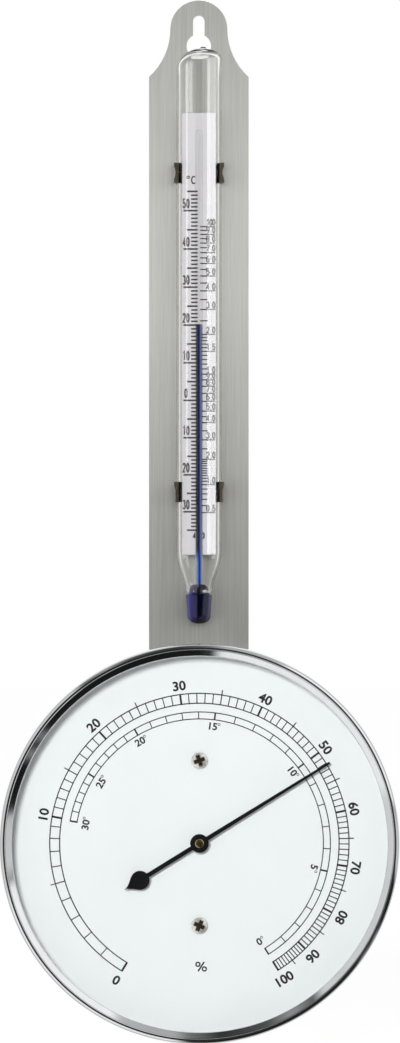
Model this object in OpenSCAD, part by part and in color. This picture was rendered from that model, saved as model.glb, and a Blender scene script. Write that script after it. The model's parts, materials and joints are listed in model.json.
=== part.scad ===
// Polymeter: a spirit thermometer clipped to a hanging plate, above a round hair hygrometer.
// The origin is the centre of the hanging hole, on the wall plane.
// +X is right, +Y goes into the wall, +Z is up.
// A height is a distance from the wall towards the reader, so it runs along -Y.

/* [Hanging plate] */
// Width of the plate
plate_w = 26; // [24:0.5:29]
// Thickness of the plate
plate_t = 1.5; // [1.2:0.1:2.5]
// Radius of the lobe at the top
lobe_r = 7.45; // [6.5:0.05:8.5]
// Height of the lobe's centre above the hanging hole
lobe_rise = 4.48; // [3.8:0.02:6]
// Radius of the hollow flanks between the lobe and the shoulders
flank_r = 16.85; // [14:0.05:20]
// Radius of the hanging hole
hang_r = 3.2; // [2.5:0.05:3.6]
// Width of the hanging slot above the hole
slot_w = 3; // [2:0.1:3.6]
// Height of the slot's top above the hole's centre
slot_rise = 8; // [6:0.1:8.8]
// Length of plate behind the case, below the dial's centre
plate_tail = 36; // [26:1:42]
// Radius of the plate's two lower corners
plate_corner_r = 4; // [1:0.5:8]

/* [Case] */
// Depth of the dial's centre below the hanging hole
dial_drop = 207; // [206:0.5:216]
// Outer radius of the drawn can
can_r = 49.9; // [47:0.1:54]
// Wall of the can
can_wall = 0.8; // [0.6:0.1:1.2]
// Length of the can from its floor to its rim
can_len = 25.4; // [24.8:0.1:28]
// Radius of the can's rear corner
can_corner_r = 5; // [2:0.5:8]
// Radius of one vent hole in the can's floor
vent_r = 1.5; // [1:0.1:2]
// Radius of the inner row of vents
vent_row_r = 24; // [22:0.5:25]
// Distance between the rows of vents
vent_row_gap = 7; // [6:0.5:7]
// Angle between neighbouring vents in the outer row
vent_step = 13; // [11:1:17]

/* [Bezel and glass] */
// Wall of the bezel's skirt around the can
bezel_wall = 1.6; // [1.4:0.05:3]
// Width of the bezel's front lip, from its outer edge inwards
lip_w = 3.2; // [3.1:0.1:5]
// Thickness of the front lip
lip_t = 0.8; // [0.5:0.1:1.2]
// Slope of the lip's funnel-shaped band towards the glass
band_angle = 27; // [20:1:32]
// Rounding of the band's crest
crest_r = 0.2; // [0.1:0.05:0.3]
// Distance of the band's crest from the bezel's outer edge
crest_inset = 1.4; // [1.3:0.05:1.8]
// Radius of the bezel's rounded front edge
front_r = 1.1; // [0.9:0.05:1.2]
// Radius of the rounded rear edge of the skirt
roll_r = 0.75; // [0.5:0.05:0.75]
// Length of the skirt behind the glass
skirt_len = 8.5; // [6:0.5:14]
// Thickness of the front glass
glass_t = 2; // [1.5:0.1:2.5]
// Thickness of the rubber ring under the glass
gasket_t = 0.6; // [0.4:0.1:1]

/* [Dial] */
// Thickness of the dial
dial_t = 0.6; // [0.4:0.1:1]
// Distance of each fixing screw from the dial's centre
screw_offset = 21.3; // [19:0.1:23]
// Radius of a dial screw's head
screw_head_r = 2.1; // [1.8:0.05:2.6]
// Height of a dial screw's head
screw_head_h = 1.5; // [1.1:0.1:1.8]
// Radius of a dial screw's shank
screw_r = 1; // [0.8:0.05:1.2]
// Length of a dial screw below the dial
screw_len = 7; // [5:0.5:8]

/* [Pointer] */
// Angle of the pointer from the top of the dial, clockwise
pointer_angle = 58.23; // [0:0.01:140]
// Length of the pointer from its axis to its tip
pointer_len = 39.5; // [30:0.1:42]
// Width of the pointer at its hub
pointer_root_w = 1.15; // [0.9:0.05:1.6]
// Width of the pointer at its tip
pointer_tip_w = 0.6; // [0.4:0.05:0.8]
// Distance of the tail's round end from the axis
tail_len = 18; // [14:0.1:20]
// Radius of the tail's round end
tail_r = 2.45; // [1.8:0.05:3]
// Reach of the tail's point beyond its round centre
tail_point = 4.6; // [3.6:0.1:6]
// Thickness of the pointer
pointer_t = 0.3; // [0.2:0.05:0.5]
// Radius of the pointer's hub disc
hub_r = 2.4; // [2:0.05:3]
// Gap between the dial and the hub disc
pointer_gap = 2; // [1.8:0.1:2.6]
// Turn of the pointer from rest to the dry end of the scale, degrees
dry_turn = 207; // [180:1:215]
// Turn of the pointer from rest to the humid end of the scale, degrees
humid_turn = 90; // [60:1:100]

/* [Movement] */
// Radius of the two mounting posts
post_r = 3; // [2.5:0.1:3.5]
// Length of the mounting posts
post_len = 18; // [17.5:0.1:20]
// Thickness of the front movement plate
movement_t = 1.2; // [1:0.1:1.5]
// Radius of the front movement plate
movement_r = 27; // [26:0.5:32]
// Width of the front movement plate between its flats
movement_w = 46; // [46:1:52]
// Length of the three pillars
pillar_len = 9; // [8.8:0.1:10]
// Radius of the three pillars
pillar_r = 1.8; // [1.4:0.1:2.2]
// Thickness of the rear bridge
bridge_t = 1; // [0.8:0.1:1.4]
// Tooth module of the gear pair
tooth_module = 0.3; // [0.28:0.01:0.31]
// Teeth of the pinion
pinion_teeth = 12; // [12:1:14]
// Turns of the pinion for one turn of the sector
gear_ratio = 7; // [6:1:7]
// Pressure angle of the teeth
pressure_angle = 25; // [24:0.5:27]
// Play between meshing teeth along the pitch circle
backlash = 0.06; // [0.04:0.01:0.09]
// Thickness of the sector
sector_t = 1; // [0.8:0.1:1.2]
// Length of the pinion
pinion_len = 2.4; // [2:0.1:2.8]
// Direction of the sector's arbor, seen from the pointer's arbor
sector_dir = 235; // [230:1:240]
// Radius of both arbors
arbor_r = 0.9; // [0.8:0.05:1]
// Radius of the arbors' end pivots
pivot_r = 0.5; // [0.4:0.05:0.6]
// Outer radius of the pivot bushes
bush_r = 1.5; // [1.3:0.05:1.7]
// Radial clearance of every running fit
run_gap = 0.03; // [0.02:0.005:0.06]

/* [Hair and hairspring] */
// Radius of the crank that the hair pulls
crank_r = 1.8; // [1.6:0.05:2.2]
// Distance of the adjuster's axis from the can's outside
adjuster_inset = 9.65; // [9.5:0.05:13]
// Distance of the adjuster's axis left of the dial's centre
adjuster_x = 18; // [17.5:0.1:18.5]
// Number of strands in the hair bundle
strands = 5; // [3:1:5]
// Radius of one strand
strand_r = 0.07; // [0.04:0.01:0.08]
// Thickness of the hairspring's ribbon
ribbon_t = 0.12; // [0.08:0.01:0.16]
// Height of the hairspring's ribbon
ribbon_h = 0.8; // [0.6:0.05:1]
// Distance between the hairspring's turns
coil_pitch = 0.75; // [0.6:0.05:0.8]
// Turns of the hairspring
coil_turns = 5; // [4:1:6]

/* [Thermometer] */
// Outer radius of the glass tube
tube_r = 5.87; // [5.6:0.01:6]
// Wall of the glass tube
tube_wall = 0.9; // [0.7:0.05:1]
// Depth of the tube's top below the hanging hole's centre
tube_top = 1.2; // [1:0.1:3]
// Rise of the tube's squashed dome
dome_rise = 3.1; // [2.6:0.1:4]
// Depth below the hanging hole at which the tube starts to taper
taper_top = 132; // [131.8:0.1:133]
// Depth of the neck's lower edge
neck_low = 142.5; // [142:0.1:143.5]
// Outer radius of the neck
neck_r = 3.45; // [3.2:0.05:3.8]
// Depth of the bulb's lowest point
bulb_low = 150.7; // [149:0.1:152]
// Radius of the bulb just above its rounded end
bulb_end_r = 3.04; // [2.6:0.02:3.4]
// Wall of the bulb
bulb_wall = 0.3; // [0.2:0.05:0.5]
// Radius of the capillary rod
rod_r = 0.95; // [0.8:0.05:1.1]
// Radius of the capillary's bore
bore_r = 0.42; // [0.3:0.02:0.5]
// Depth of the capillary's upper end
rod_top = 22; // [20:0.5:28]
// Gap between a liquid and the glass around it
liquid_gap = 0.02; // [0.01:0.01:0.04]
// Width of the opal scale plate
scale_w = 9; // [8:0.1:9]
// Thickness of the opal scale plate
scale_t = 0.8; // [0.6:0.1:1]
// Depth of the scale plate's upper edge
scale_top = 17.7; // [14:0.1:20]
// Depth of the scale plate's lower edge
scale_low = 132.7; // [130:0.1:132.7]
// Temperature that the thermometer shows
reading = 20.2; // [-20:0.1:45]
// Depth of the mark for zero degrees
zero_mark = 92.55; // [90:0.05:94]
// Length of one degree at the zero mark
degree_len = 0.9743; // [0.95:0.0001:0.99]
// Growth of the degree's length with temperature
degree_gain = 0.000266; // [0:0.000001:0.0004]

/* [Thermometer clips] */
// Depth of the upper clip's middle below the hanging hole
clip_high = 33.5; // [28:0.5:40]
// Depth of the lower clip's middle below the hanging hole
clip_low = 116.4; // [110:0.1:122]
// Height of a clip
clip_h = 5.3; // [4.5:0.1:6.5]
// Thickness of the spring steel
clip_t = 0.25; // [0.2:0.05:0.4]
// Gap between the clip's inside and the tube
clip_gap = 0.03; // [0.02:0.01:0.08]
// Angle by which the arms reach past the tube's widest line
clip_reach = 24; // [15:1:35]
// Length of the turned-out lips
lip_len = 1.3; // [1.1:0.05:1.6]
// Angle of the lips from the plate
lip_angle = 35; // [25:1:45]

/* [Hidden] */
$fn = 64;

// Overshoot of a cutting solid past the face that it opens
cut = 0.5;

// Heights above the wall, from the back to the front
can_floor = plate_t + can_wall;
movement_rear = can_floor + post_len;
dial_seat = movement_rear + movement_t;
dial_front = dial_seat + dial_t;
can_rim = plate_t + can_len;
glass_rear = can_rim + gasket_t;
glass_front = glass_rear + glass_t;
hub_rear = dial_front + pointer_gap;
blade_rear = hub_rear + 0.4;
bridge_front = movement_rear - pillar_len;
bridge_rear = bridge_front - bridge_t;
// The sector turns in the middle of the pinion, the hair pulls near the bridge
gear_mid = movement_rear - 2.6;
crank_mid = bridge_front + 1.8;
crank_t = 0.8;
spring_mid = crank_mid + crank_t / 2 + ribbon_h / 2 + 0.6;

// Radii of the case and the bezel
can_in = can_r - can_wall;
bezel_r = can_r + bezel_wall;
lip_r = bezel_r - lip_w;
dial_r = can_in - 0.2;
glass_r = can_r - 0.1;
skirt_in = can_r + 0.05;

// Radii of the three rows of vents
vent_rows = [for (i = [0 : 2]) vent_row_r + i * vent_row_gap];

// Screws and rivets
rivet_r = 1;
rivet_head_r = 1.8;
rivet_head_h = 0.8;
case_screw_r = 1.25;
case_screw_head_r = 2.35;
case_screw_head_h = 1.1;
case_screw_len = 8;
thread_gap = 0.02;
recess_w = 0.6;

// Gear pair, sizes on the pitch circles
pinion_r = tooth_module * pinion_teeth / 2;
sector_teeth = pinion_teeth * gear_ratio;
sector_r = tooth_module * sector_teeth / 2;
sector_x = (sector_r + pinion_r) * cos(sector_dir);
sector_y = (sector_r + pinion_r) * sin(sector_dir);
tooth_step = 360 / sector_teeth;
teeth_dry = ceil(dry_turn / gear_ratio / tooth_step + 1);
teeth_humid = ceil(humid_turn / gear_ratio / tooth_step + 1);

// Places of the three pillars, seen from the front, and the windows of the front plate
pillar_at = movement_r * [[0.4444, 0.3333], [-0.7037, -0.3704], [0.2963, -0.5]];
bridge_edge = 2 * pillar_r;
window_at = movement_r * [0.52, 0.574];
window_r = movement_r * 0.148;

// Hair line and adjuster
hair_x = sector_x - crank_r;
adjuster_y = sqrt(pow(can_r - adjuster_inset, 2) - adjuster_x * adjuster_x);
ferrule_len = 1.6;
ferrule_r = 0.65;
crank_pin_r = 0.35;
adjuster_r = 2;
adjuster_bush_r = 3;
bush_flange_t = 0.8;
washer_t = 0.3;
arm_rear = crank_mid - crank_t / 2;
arm_edge = 1.4;
spring_in = arbor_r + 0.45;
spring_out = spring_in + 0.05 + coil_turns * coil_pitch;

// Thermometer, measured from its own axis
tube_h = plate_t + clip_t + clip_gap + tube_r;
tube_in = tube_r - tube_wall;
bore_z = -neck_low + 2.2;
level_z = -zero_mark + degree_len * reading + degree_gain * reading * reading;
level_len = 0.8;
clip_in = tube_r + clip_gap;
clip_out = clip_in + clip_t;
clip_seat = 2.6;

function polar(r, a) = [r * cos(a), r * sin(a)];
function reversed(list) = [for (i = [len(list) - 1 : -1 : 0]) list[i]];

// Involute function of an angle, in degrees
function involute(a) = tan(a) * 180 / PI - a;

// Half of a tooth's angle at radius r, for a pitch radius rp
function half_tooth(r, rp) =
    let (base = rp * cos(pressure_angle))
    let (a = r <= base ? 0 : acos(base / r))
    (PI * tooth_module - backlash) / 4 / rp * 180 / PI + involute(pressure_angle) - involute(a);

// Radii at which a tooth's flank is worked out, from its root to its tip
function flank_radii(rp) =
    let (root = rp - 1.25 * tooth_module)
    let (base = rp * cos(pressure_angle))
    let (tip = rp + tooth_module)
    let (start = max(root, base))
    concat(root < base ? [root] : [], [for (i = [0 : 5]) start + (tip - start) * i / 5]);

// Both flanks of the tooth whose middle lies at angle a
function tooth(rp, a) = concat(
    [for (r = flank_radii(rp)) polar(r, a - half_tooth(r, rp))],
    [for (r = reversed(flank_radii(rp))) polar(r, a + half_tooth(r, rp))]
);

// One edge of a flat spiral, moved outwards by off
function spiral(r0, pitch, turns, off) =
    let (steps = 30)
    [for (i = [0 : turns * steps]) polar(r0 + off + pitch * i / steps, 360 * i / steps)];

// A quarter of a rounded corner from [r1, z1], where it runs along z, to [r2, z2], where it runs along r
function rounded(r1, z1, r2, z2, power, steps) = [
    for (i = [0 : steps])
        let (a = 90 * i / steps)
        [r2 + (r1 - r2) * pow(cos(a), 2 / power), z1 + (z2 - z1) * pow(sin(a), 2 / power)]
];

// A drawn-out taper from radius r1 at z1 to r2 at z2: a round shoulder, a straight cone, a soft foot
function taper(r1, z1, r2, z2, steps) = [
    for (i = [0 : steps])
        let (t = i / steps)
        [r2 + (r1 - r2) * pow(1 - pow(t, 1.9), 1.7), z1 + (z2 - z1) * t]
];

// Places what is drawn at the dial's own centre: x right, y up, z towards the reader from height h
module on_dial(x = 0, y = 0, h = 0) {
    translate([x, -h, y - dial_drop]) rotate([90, 0, 0]) children();
}

// Draws a rod between two heights at a place on the dial
module dial_rod(x, y, h1, h2, r) {
    on_dial(x, y, h1) cylinder(h = h2 - h1, r = r);
}

// Cuts a round hole between two heights, and past both
module dial_hole(x, y, h1, h2, r) {
    dial_rod(x, y, h1 - cut, h2 + cut, r);
}

// A flat ring between two heights at a place on the dial
module dial_ring(x, y, h1, h2, r, hole) {
    difference() {
        dial_rod(x, y, h1, h2, r);
        dial_hole(x, y, h1, h2, hole);
    }
}

// Countersunk rod: its head lies flush with the wall plane
module flush_rod(z, length, r, head_r, head_h) {
    translate([0, 0, z]) rotate([90, 0, 0]) {
        cylinder(h = length, r = r);
        cylinder(h = head_h, r1 = head_r, r2 = r);
    }
}

// Front outline of the hanging plate
module plate_outline() {
    low = -dial_drop - plate_tail;
    flank_x = lobe_r + flank_r;
    shoulder = lobe_rise - sqrt(flank_r * flank_r - pow(flank_x - plate_w / 2, 2));
    translate([0, lobe_rise]) circle(r = lobe_r);
    difference() {
        translate([-plate_w / 2, shoulder - 1]) square([plate_w, lobe_rise - shoulder + 1]);
        for (side = [-1, 1]) {
            translate([side * flank_x, lobe_rise]) circle(r = flank_r);
        }
    }
    translate([-plate_w / 2, low + plate_corner_r]) square([plate_w, shoulder - low - plate_corner_r]);
    translate([-plate_w / 2 + plate_corner_r, low])
        square([plate_w - 2 * plate_corner_r, plate_corner_r + 1]);
    for (side = [-1, 1]) {
        translate([side * (plate_w / 2 - plate_corner_r), low + plate_corner_r]) circle(r = plate_corner_r);
    }
}

module back_plate() {
    color([0.75, 0.75, 0.73]) difference() {
        rotate([90, 0, 0]) linear_extrude(height = plate_t) plate_outline();
        translate([0, cut, 0]) rotate([90, 0, 0]) {
            cylinder(h = plate_t + 2 * cut, r = hang_r);
            translate([0, slot_rise - slot_w / 2, 0]) cylinder(h = plate_t + 2 * cut, r = slot_w / 2);
            translate([-slot_w / 2, 0, 0]) cube([slot_w, slot_rise - slot_w / 2, plate_t + 2 * cut]);
        }
        for (z = [-clip_high, -clip_low]) {
            flush_rod(z, plate_t + cut, rivet_r, rivet_head_r, rivet_head_h);
        }
        for (side = [-1, 1]) {
            flush_rod(
                side * screw_offset - dial_drop, plate_t + cut,
                case_screw_r, case_screw_head_r, case_screw_head_h
            );
        }
    }
}

// Half of a clip's outline from above: an arm around the tube, then a turned-out lip
module clip_arm(side) {
    tip = polar(clip_in + clip_t / 2, -clip_reach);
    mirror([side < 0 ? 1 : 0, 0]) {
        intersection() {
            difference() {
                circle(r = clip_out);
                circle(r = clip_in);
            }
            polygon([[0, 0], 2 * clip_out * polar(1, -clip_reach), 3 * clip_out * polar(1, 20),
                3 * clip_out * polar(1, 70), [0, 2 * clip_out]]);
        }
        translate(tip) rotate(-lip_angle) translate([-clip_t / 2, -clip_t / 2]) square([lip_len, clip_t]);
    }
}

// Spring clip around the tube, its lips cut hollow between the corners that flare
module clip(z, flare_below) {
    hollow_r = clip_h * 0.62;
    lip_x = clip_out - 0.05;
    lip_y = -clip_in * sin(clip_reach) + 0.1;
    lip_depth = 2 * lip_len;
    translate([0, -tube_h, z]) difference() {
        translate([0, 0, -clip_h / 2]) linear_extrude(height = clip_h) {
            clip_arm(1);
            clip_arm(-1);
            // Flat seat under the rivet
            translate([-clip_seat, clip_in]) square([2 * clip_seat, clip_t]);
        }
        rotate([-90, 0, 0]) cylinder(h = tube_h + cut, r = rivet_r);
        for (side = [-1, 1]) {
            translate([side * (lip_x + hollow_r), lip_y, 0]) rotate([90, 0, 0])
                cylinder(h = lip_depth, r = hollow_r);
            if (!flare_below) {
                translate([side * (lip_x + lip_depth / 2), lip_y - lip_depth / 2, -clip_h / 2])
                    cube([lip_depth, lip_depth, clip_h], center = true);
            }
        }
    }
}

module upper_clip() {
    color([0.3, 0.29, 0.26]) clip(-clip_high, true);
}

module lower_clip() {
    color([0.3, 0.29, 0.26]) clip(-clip_low, false);
}

module clip_rivets() {
    for (z = [-clip_high, -clip_low]) {
        color([0.7, 0.7, 0.68]) flush_rod(z, plate_t + clip_t, rivet_r, rivet_head_r, rivet_head_h);
    }
}

module at_tube() {
    translate([0, -tube_h, 0]) children();
}

// Glass envelope: squashed dome, long cylinder, taper and neck, open at its lower end
module glass_jacket() {
    neck_in = neck_r - 0.7;
    outer = concat(
        [[neck_in, -neck_low], [neck_r, -neck_low]],
        reversed(taper(tube_r, -taper_top, neck_r, -neck_low + 0.5, 12)),
        rounded(tube_r, -tube_top - dome_rise, 0, -tube_top, 2.9, 10)
    );
    inner = concat(
        reversed(rounded(tube_in, -tube_top - dome_rise, 0, -tube_top - tube_wall, 2.9, 10)),
        taper(tube_in, -taper_top, neck_in, -neck_low + 0.6, 12)
    );
    color([0.85, 0.88, 0.88, 0.35]) at_tube() {
        rotate_extrude() polygon(concat(outer, inner));
        translate([1.1, 0, -tube_top - 0.3]) sphere(r = 0.9);
    }
}

// Rod with the bore in which the spirit rises
module capillary_rod() {
    color([0.9, 0.93, 0.95, 0.5]) at_tube() translate([0, 0, bore_z]) difference() {
        cylinder(h = -rod_top - bore_z, r = rod_r);
        translate([0, 0, -cut]) cylinder(h = -rod_top - bore_z - 1 + cut, r = bore_r);
    }
}

// Outline of the bulb, drawn in by a gap; its top ends at the given radius
module bulb_outline(gap, top_r) {
    shoulder_r = neck_r - 0.05 - gap;
    end_r = bulb_end_r - gap;
    low = -bulb_low + gap;
    round_z = low + 2.3;
    top = bore_z - gap;
    neck_z = -neck_low - gap;
    polygon(concat(
        [[0, top], [top_r, top], [neck_r - 1, neck_z], [shoulder_r, neck_z]],
        rounded(end_r, round_z, 0, low, 2.2, 8)
    ));
}

module bulb() {
    color([0.1, 0.1, 0.5, 0.6]) at_tube() rotate_extrude() difference() {
        bulb_outline(0, rod_r);
        bulb_outline(bulb_wall, rod_r - bulb_wall);
        translate([0, bore_z - bulb_wall - cut]) square([bore_r, 2 * cut + bulb_wall]);
    }
}

module bulb_spirit() {
    color([0.05, 0.05, 0.45]) at_tube() rotate_extrude()
        bulb_outline(bulb_wall + liquid_gap, rod_r - bulb_wall - liquid_gap);
}

module spirit_column() {
    low = bore_z - bulb_wall - liquid_gap;
    color([0.05, 0.08, 0.5]) at_tube() translate([0, 0, low])
        cylinder(h = level_z - level_len - low, r = bore_r - liquid_gap);
}

// Top of the column, which rises and falls
module spirit_level() {
    color([0.05, 0.08, 0.5]) at_tube() translate([0, 0, level_z - level_len])
        cylinder(h = level_len, r = bore_r - liquid_gap);
}

// Opal plate behind the capillary
module scale_plate() {
    color([0.93, 0.93, 0.95]) at_tube() translate([-scale_w / 2, rod_r, -scale_low])
        cube([scale_w, scale_t, scale_low - scale_top]);
}

// Two fused beads of glass on which the scale plate stands
module scale_rest() {
    bead = 0.6;
    back = rod_r + scale_t / 2;
    side_x = sqrt(pow(tube_in - bead - 0.2, 2) - back * back);
    for (side = [-1, 1]) {
        color([0.9, 0.92, 0.92, 0.6]) at_tube()
            translate([side * side_x, back, -scale_low - bead]) sphere(r = bead);
    }
}

// Places of the vents in the can's floor, on both sides of the hanging plate
module vent_holes() {
    for (side = [-1, 1]) {
        for (r = vent_rows) {
            for (i = [-3 : 3]) {
                x = side * r * cos(i * vent_step * max(vent_rows) / r);
                y = r * sin(i * vent_step * max(vent_rows) / r);
                if (abs(x) > plate_w / 2 + vent_r + 2) {
                    dial_hole(x, y, plate_t, can_floor, vent_r);
                }
            }
        }
    }
}

// Drawn can: floor, round corner and wall in one revolved profile
module case_shell() {
    inner_corner = can_corner_r - can_wall;
    color([0.72, 0.72, 0.7]) difference() {
        on_dial() rotate_extrude($fn = 128) {
            translate([0, plate_t]) square([can_r - can_corner_r, can_wall]);
            translate([can_in, plate_t + can_corner_r]) square([can_wall, can_len - can_corner_r]);
            translate([can_r - can_corner_r, plate_t + can_corner_r]) intersection() {
                difference() {
                    circle(r = can_corner_r);
                    circle(r = inner_corner);
                }
                translate([0, -can_corner_r]) square(can_corner_r);
            }
        }
        for (side = [-1, 1]) {
            dial_hole(0, side * screw_offset, plate_t, can_floor, case_screw_r + 0.1);
        }
        dial_hole(-adjuster_x, adjuster_y, plate_t, can_floor, adjuster_bush_r);
        vent_holes();
    }
}

// Countersunk screws from behind, through the plate and the can into the posts
module case_screws() {
    for (side = [-1, 1]) {
        color([0.7, 0.7, 0.68]) difference() {
            flush_rod(
                side * screw_offset - dial_drop, case_screw_len,
                case_screw_r, case_screw_head_r, case_screw_head_h
            );
            translate([0, 0, side * screw_offset - dial_drop]) {
                cube([recess_w, 1.4, 2.4], center = true);
                cube([2.4, 1.4, recess_w], center = true);
            }
        }
    }
}

module posts() {
    for (side = [-1, 1]) {
        y = side * screw_offset;
        color([0.75, 0.62, 0.3]) difference() {
            dial_rod(0, y, can_floor, movement_rear, post_r);
            dial_rod(0, y, can_floor - cut, case_screw_len + 0.5, case_screw_r + thread_gap);
            dial_rod(0, y, dial_front - screw_len - 0.5, movement_rear + cut, screw_r + thread_gap);
        }
    }
}

// Bezel: lip over the glass, band that slopes towards it, crease, round front edge and skirt
module bezel() {
    skirt_rear = glass_front - skirt_len;
    edge_r = lip_t / 2;
    front_at = bezel_r - front_r;
    roll_at = bezel_r - roll_r;
    slope = [cos(band_angle), sin(band_angle)];
    square_to = [-sin(band_angle), cos(band_angle)];
    // The band is a straight line that touches the lip's round edge and the round crest
    edge = [lip_r + edge_r, glass_front + edge_r];
    start = edge + (edge_r - crest_r) * square_to;
    crest_x = bezel_r - crest_inset - crest_r;
    crest = start + (crest_x - start.x) / slope.x * slope;
    color([0.82, 0.82, 0.82]) on_dial() rotate_extrude($fn = 180) {
        polygon([
            [edge.x, glass_front], [front_at, glass_front], [front_at, glass_front + lip_t],
            [crest.x + crest_r, glass_front + lip_t], [crest.x + crest_r, crest.y],
            crest + crest_r * square_to, edge + edge_r * square_to, edge
        ]);
        translate(edge) circle(r = edge_r);
        translate(crest) circle(r = crest_r);
        translate([front_at, glass_front]) intersection() {
            circle(r = front_r);
            translate([-front_r, 0]) square([2 * front_r, front_r]);
        }
        translate([skirt_in, skirt_rear + roll_r])
            square([bezel_r - skirt_in, skirt_len - roll_r]);
        translate([skirt_in, skirt_rear]) square([roll_at - skirt_in, roll_r + 0.1]);
        translate([roll_at, skirt_rear + roll_r]) circle(r = roll_r);
    }
}

module crystal() {
    color([0.9, 0.95, 0.95, 0.2]) dial_rod(0, 0, glass_rear, glass_front, glass_r);
}

module crystal_gasket() {
    color([0.15, 0.15, 0.15]) dial_ring(0, 0, can_rim, glass_rear, glass_r, can_in);
}

module dial() {
    color([0.93, 0.95, 0.95]) difference() {
        dial_rod(0, 0, dial_seat, dial_front, dial_r);
        dial_hole(0, 0, dial_seat, dial_front, bush_r + 0.1);
        for (side = [-1, 1]) {
            dial_hole(0, side * screw_offset, dial_seat, dial_front, screw_r + 0.1);
        }
    }
}

// Pan-head screws that hold the dial and the movement to the posts
module dial_screws() {
    for (side = [-1, 1]) {
        color([0.75, 0.73, 0.66]) on_dial(0, side * screw_offset, dial_front) difference() {
            union() {
                translate([0, 0, -screw_len]) cylinder(h = screw_len, r = screw_r);
                cylinder(h = screw_head_h * 0.5, r = screw_head_r);
                translate([0, 0, screw_head_h * 0.5])
                    cylinder(h = screw_head_h * 0.5, r1 = screw_head_r, r2 = screw_head_r * 0.7);
            }
            translate([0, 0, screw_head_h]) for (turn = [0, 90]) {
                rotate(turn + 20) cube([screw_head_r * 1.3, recess_w, 1.6], center = true);
            }
        }
    }
}

module movement_plate() {
    color([0.8, 0.66, 0.3]) difference() {
        on_dial(0, 0, movement_rear) linear_extrude(height = movement_t) intersection() {
            circle(r = movement_r, $fn = 96);
            square([movement_w, 2 * movement_r], center = true);
        }
        dial_hole(0, 0, movement_rear, dial_seat, bush_r);
        dial_hole(sector_x, sector_y, movement_rear, dial_seat, bush_r);
        for (side = [-1, 1]) {
            dial_hole(0, side * screw_offset, movement_rear, dial_seat, screw_r + 0.1);
        }
        for (p = pillar_at) {
            dial_hole(p.x, p.y, movement_rear, dial_seat, pillar_r * 0.6);
        }
        // Lightening windows beside the upper post
        for (side = [-1, 1]) {
            dial_hole(side * window_at.x, window_at.y, movement_rear, dial_seat, window_r);
        }
    }
}

// Rear plate of the movement, round at each pillar
module bridge() {
    color([0.8, 0.66, 0.3]) difference() {
        on_dial(0, 0, bridge_rear) linear_extrude(height = bridge_t) hull() {
            for (p = pillar_at) {
                translate(p) circle(r = bridge_edge, $fn = 32);
            }
        }
        dial_hole(0, 0, bridge_rear, bridge_front, bush_r);
        dial_hole(sector_x, sector_y, bridge_rear, bridge_front, bush_r);
        for (p = pillar_at) {
            dial_hole(p.x, p.y, bridge_rear, bridge_front, pillar_r * 0.5);
        }
        dial_hole(spring_out + 0.7, 0, bridge_rear, bridge_front, 0.6);
    }
}

// Shouldered pillars: riveted into the front plate, threaded behind the bridge
module pillars() {
    for (p = pillar_at) {
        color([0.78, 0.64, 0.3]) union() {
            dial_rod(p.x, p.y, bridge_front, movement_rear, pillar_r);
            dial_rod(p.x, p.y, movement_rear, dial_seat, pillar_r * 0.6);
            dial_rod(p.x, p.y, bridge_rear - 2, bridge_front, pillar_r * 0.5);
        }
    }
}

module pillar_nuts() {
    for (p = pillar_at) {
        color([0.7, 0.7, 0.68]) difference() {
            on_dial(p.x, p.y, bridge_rear - 1.4) cylinder(h = 1.4, r = pillar_r + 0.2, $fn = 6);
            dial_hole(p.x, p.y, bridge_rear - 1.4, bridge_rear, pillar_r * 0.5 + thread_gap);
        }
    }
}

module pointer_front_bush() {
    color([0.7, 0.55, 0.25]) dial_ring(0, 0, movement_rear, dial_front, bush_r, pivot_r + run_gap);
}

module pointer_rear_bush() {
    color([0.7, 0.55, 0.25]) dial_ring(0, 0, bridge_rear, bridge_front, bush_r, pivot_r + run_gap);
}

module sector_bushes() {
    color([0.7, 0.55, 0.25]) {
        dial_ring(sector_x, sector_y, movement_rear, dial_seat, bush_r, pivot_r + run_gap);
        dial_ring(sector_x, sector_y, bridge_rear, bridge_front, bush_r, pivot_r + run_gap);
    }
}

// Arbor with a pivot at each end; the shoulders clear the bushes by the end shake
module arbor(x, y, rear, front) {
    shake = 0.05;
    dial_rod(x, y, bridge_front + shake, movement_rear - shake, arbor_r);
    dial_rod(x, y, rear, front, pivot_r);
}

module sector_arbor() {
    color([0.65, 0.66, 0.68]) arbor(sector_x, sector_y, bridge_rear, dial_seat - 0.1);
}

// Toothed arc on two spokes, with a tail that balances it
module sector_gear() {
    facing = sector_dir - 180;
    first = facing - (teeth_humid + 0.5) * tooth_step;
    last = facing + (teeth_dry + 0.5) * tooth_step;
    root = sector_r - 1.25 * tooth_module;
    middle = (first + last) / 2;
    spread = (last - first) / 2;
    spoke = 12;
    hub = arbor_r + 1.6;
    rim_w = 7.3 * tooth_module;
    balance_r = 0.206 * sector_r;
    balance_at = 0.445 * sector_r;
    rim = concat(
        [[0, 0], polar(root, first)],
        [for (k = [-teeth_humid : teeth_dry]) each tooth(sector_r, facing + k * tooth_step)],
        [polar(root, last)]
    );
    color([0.82, 0.68, 0.32]) difference() {
        on_dial(sector_x, sector_y, gear_mid - sector_t / 2) linear_extrude(height = sector_t) {
            difference() {
                polygon(rim);
                // Window between the spokes
                intersection() {
                    difference() {
                        circle(r = sector_r - rim_w);
                        circle(r = hub + 0.8);
                    }
                    polygon([
                        [0, 0],
                        polar(2 * sector_r, middle - spread + spoke),
                        polar(2 * sector_r, middle + spread - spoke)
                    ]);
                }
            }
            circle(r = hub);
            rotate(middle + 180) translate([0, -arbor_r]) square([balance_at, 2 * arbor_r]);
            translate(polar(balance_at, middle + 180)) circle(r = balance_r);
        }
        dial_hole(sector_x, sector_y, gear_mid - sector_t, gear_mid + sector_t, arbor_r);
    }
}

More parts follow.
